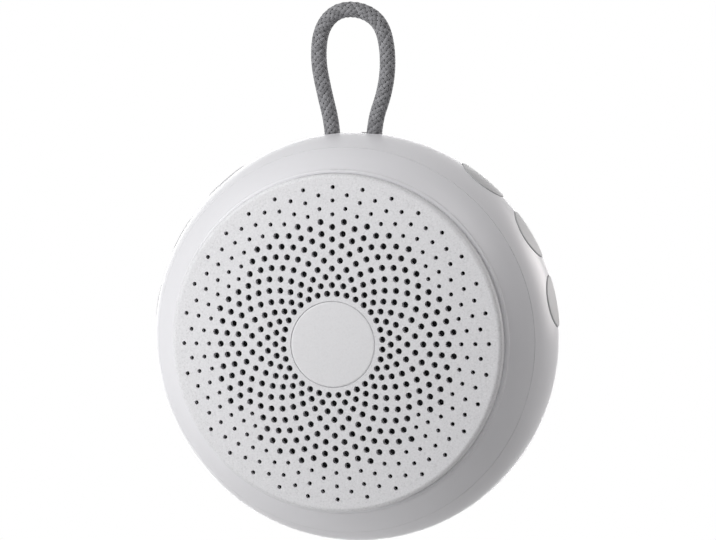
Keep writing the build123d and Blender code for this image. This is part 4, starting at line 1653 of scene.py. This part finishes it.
    @staticmethod
    def _mark(braid: bpy.types.Object, marks: Sequence[Mark]) -> None:
        """Stores the run and the share as UV, and the shade and the height under names.

        Args:
            braid: the rope's piece.
            marks: the four numbers of each vertex.
        """
        mesh = braid.data
        layer = mesh.uv_layers.new(name="yarn")
        for loop in mesh.loops:
            layer.data[loop.index].uv = marks[loop.vertex_index][:2]
        for name, column in (("strand", 2), ("depth", 3)):
            held = mesh.attributes.new(name, "FLOAT", "POINT")
            held.data.foreach_set("value", [mark[column] for mark in marks])


@dataclass
class Casing:
    """Front and rear shells of the round body, and the soft ring on its back."""

    shells: tuple[str, ...] = ("front_shell", "rear_shell")
    foot: str = "back_foot"

    def build(self) -> None:
        """Dresses the shells and the foot."""
        dress_all({shell: CASING for shell in self.shells})
        dress(self.foot, FOOT)


@dataclass
class Grille:
    """Perforated plate, its badge and the cloth behind it."""

    plate: str = "grille_plate"
    badge: str = "badge_disc"
    cloth: str = "dust_cloth"
    dome_r: float = 238.0 * MM
    badge_r: float = 9.4 * MM
    badge_thick: float = 1.0 * MM
    edge_width: float = 0.42 * MM  # rounding of the badge's rim
    edge_drop: float = 0.15 * MM
    sill_r: float = 9.53 * MM  # of the badge below the groove round it
    groove_depth: float = 0.19 * MM
    rings: int = 24  # of the badge's face
    edge_steps: int = 6

    def dome_y(self, r: float) -> float:
        """Y of the domed face at a radius."""
        return CROWN_Y + self.dome_r - sqrt(self.dome_r**2 - r**2)

    def badge_profile(self) -> list[tuple[float, float]]:
        """The badge's section, from the axis in front to the axis behind.

        Returns:
            Radius and Y of each corner.
        """
        flat_r = self.badge_r - self.edge_width
        radii = [flat_r * n / self.rings for n in range(self.rings + 1)]
        profile = [(r, self.dome_y(r)) for r in radii]
        for n in range(1, self.edge_steps + 1):
            a = pi / 2 * n / self.edge_steps
            rise = self.edge_drop * (1 - cos(a))
            profile.append((flat_r + self.edge_width * sin(a), self.dome_y(flat_r) + rise))
        sill_y = self.dome_y(self.badge_r) + self.groove_depth
        back_y = self.dome_y(self.badge_r) + self.badge_thick
        profile += [(self.badge_r, sill_y), (self.sill_r, sill_y)]
        profile += [(self.sill_r, back_y), (flat_r, back_y)]
        return profile + [(0.0, self.dome_y(0.0) + self.badge_thick)]

    def build(self) -> None:
        """Makes the badge, and dresses it, the plate and the cloth."""
        dress_all({self.plate: GRILLE, self.cloth: CLOTH})
        badge = lathe("badge_face", self.badge_profile())
        badge.data.materials.append(BADGE.material())
        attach(badge, "machine")
        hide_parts(self.badge)
        log.info("%s: %s", badge.name, BADGE.name)


@dataclass
class Keys:
    """The six push keys on the rim, with the switch under each."""

    names: tuple[str, ...] = ("power", "volume_up", "volume_down", "play", "next_sound", "timer")

    def build(self) -> None:
        """Dresses the keys, their plungers and the switches."""
        for name in self.names:
            dress_all({f"{name}_button": SHADED_KEY, f"{name}_plunger": PLUNGER})
        dress("switch_bodies", SWITCH)


@dataclass
class Flexure:
    """Thin ring in sectors that bends between the speaker's basket and its moving coil."""

    node: str
    slot: str
    finish: Finish
    front: Sequence[tuple[float, float]]  # radius and Y, from the inner edge outwards
    back: Sequence[tuple[float, float]]
    moving_r: float  # it follows the coil inside this radius
    still_r: float  # and stands still outside this one
    sectors: int = 16
    steps: int = 6  # round the axis, in a sector

    def build(self) -> None:
        """Makes its sectors, each with its finish, in place of the carried-over ring."""
        y = self.front[0][1]
        for n in range(self.sectors):
            first, last = 2 * pi * n / self.sectors, 2 * pi * (n + 1) / self.sectors
            piece = mesh_object(f"{self.node}_{n + 1}", *self._sector(first, last))
            piece.data.materials.append(self.finish.material())
            middle = (first + last) / 2
            start, end = turned(self.still_r, y, middle), turned(self.moving_r, y, middle)
            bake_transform(piece)
            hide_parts(self.node)
        log.info("%s: %s, %d sectors", self.node, self.finish.name, self.sectors)

    def _sector(self, first: float, last: float) -> tuple[list[Vector], list[Face]]:
        """The ring between two angles; its closed ends have points of their own.

        Args:
            first: where it starts, in radians round the axis.
            last: where it ends.

        Returns:
            Its points and faces.
        """
        profile = [*self.front, *reversed(self.back)]
        around = len(profile)
        turns = [first + (last - first) * k / self.steps for k in range(self.steps + 1)]
        points = [turned(r, y, angle) for angle in [*turns, first, last] for r, y in profile]
        faces: list[Face] = []
        for k in range(self.steps):
            for j in range(around):
                a, b = k * around + j, k * around + (j + 1) % around
                faces.append((a, a + around, b + around, b))
        ends = (self.steps + 1) * around
        faces.append(tuple(range(ends, ends + around)))
        faces.append(tuple(reversed(range(ends + around, ends + 2 * around))))
        return points, faces


@dataclass
class Speaker:
    """The loudspeaker: what stands still, what moves and what bends between them."""

    flange_y: float = -15.235 * MM  # front of the basket's flange
    cone_r: float = 19.6 * MM
    cone_land: float = 1.4 * MM
    roll_r: float = 1.5 * MM
    roll_thick: float = 0.35 * MM
    roll_edge_r: float = 24.6 * MM
    roll_steps: int = 12
    roll_inset: float = 0.2 * MM  # the surround bends from here, outside the cone's edge
    roll_reach: float = 2.3 * MM  # and over this width
    neck_r: float = 6.6 * MM
    ledge_r: float = 13.2 * MM
    spider_edge_r: float = 15.0 * MM
    spider_depth: float = 8.6 * MM  # of the spider's back behind the flange's front
    spider_thick: float = 0.3 * MM
    spider_wave: float = 0.45 * MM
    spider_crests: int = 8
    spider_inset: float = 0.3 * MM  # from the coil and from the ledge; it bends between

    def surround(self) -> Flexure:
        """Rubber half-round between the cone and the basket.

        Returns:
            The ring, not built yet.
        """
        y, middle_r = self.flange_y, self.cone_r + self.roll_r
        outer, inner = self.roll_r + self.roll_thick / 2, self.roll_r - self.roll_thick / 2
        lean = asin(self.roll_thick / outer)
        front = [(self.cone_r - self.cone_land, y - self.roll_thick)]
        back = [(self.cone_r - self.cone_land, y)]
        for n in range(self.roll_steps + 1):
            a, b = lean + (pi - 2 * lean) * n / self.roll_steps, pi * n / self.roll_steps
            front.append((middle_r - outer * cos(a), y - outer * sin(a)))
            back.append((middle_r - inner * cos(b), y - inner * sin(b)))
        front.append((self.roll_edge_r, y - self.roll_thick))
        back.append((self.roll_edge_r, y))
        moving_r = self.cone_r + self.roll_inset
        still_r = moving_r + self.roll_reach
        return Flexure("speaker_surround", "surround", SURROUND, front, back, moving_r, still_r)

    def spider(self) -> Flexure:
        """Corrugated cloth between the coil and the basket's ledge.

        Returns:
            The ring, not built yet.
        """
        y = self.flange_y + self.spider_depth - self.spider_thick
        step = (self.ledge_r - self.neck_r) / (self.spider_crests + 1)
        front = [(self.neck_r, y)]
        for n in range(self.spider_crests):
            front.append((self.neck_r + step * (n + 1), y - self.spider_wave * (n % 2)))
        front.append((self.spider_edge_r, y))
        back = [(r, wave_y + self.spider_thick) for r, wave_y in front]
        moving_r, still_r = self.neck_r + self.spider_inset, self.ledge_r - self.spider_inset
        return Flexure("speaker_spider", "spider", SPIDER, front, back, moving_r, still_r)

    def build(self) -> None:
        """Dresses the speaker's pieces from front to back, and makes the two that bend."""
        self.surround().build()
        self.spider().build()
        dress_all(
            {
                "speaker_gasket": GASKET,
                "speaker_basket": BASKET,
                "speaker_cone": CONE,
                "speaker_dust_cap": CONE,
                "voice_coil_former": FORMER,
                "voice_coil_winding": COPPER,
                "speaker_top_plate": STEEL,
                "speaker_magnet": MAGNET,
                "speaker_yoke": STEEL,
                "speaker_terminals": TERMINAL,
            }
        )


@dataclass
class Electronics:
    """The ring-shaped board and what is soldered to it."""

    def build(self) -> None:
        """Dresses the board and its parts."""
        dress_all(
            {
                "main_board": BOARD,
                "sound_chip": CHIP,
                "amplifier_chip": CHIP,
                "charge_chip": CHIP,
                "charge_coil": CHOKE,
                "smoothing_capacitors": CAN,
                "small_parts": SMALL_PART,
                "usb_socket": SOCKET,
                "usb_tongue": TONGUE,
                "status_light": LIGHT,
                "light_pipe": PIPE,
            }
        )


@dataclass
class Power:
    """The flat cell, its pad, and the leads and plugs."""

    def build(self) -> None:
        """Dresses the cell and the wiring."""
        dress_all(
            {
                "battery_cell": CELL,
                "battery_foam": PAD,
                "battery_plug": PLUG,
                "speaker_plug": PLUG,
                "battery_leads": CELL_LEADS,
                "speaker_leads": SOUND_LEADS,
            }
        )


@dataclass
class Fasteners:
    """Screws of the casing, the speaker and the board."""

    sets: tuple[str, ...] = ("case_screws", "speaker_screws", "board_screws")

    def build(self) -> None:
        """Dresses every set of screws."""
        dress_all({screws: SCREW for screws in self.sets})


def main() -> None:
    """Builds the camera and the rope first, then the rest of the machine and the studio."""
    logging.basicConfig(level=logging.INFO, format="%(name)s: %(message)s")
    assemblies: Iterable[Assembly] = (
        Camera(),
        RopeLoop(),
        Casing(),
        Grille(),
        Keys(),
        Speaker(),
        Electronics(),
        Power(),
        Fasteners(),
        Studio(),
    )
    for assembly in assemblies:
        assembly.build()
        log.info("%s done", type(assembly).__name__)


if __name__ == "__main__":
    main()
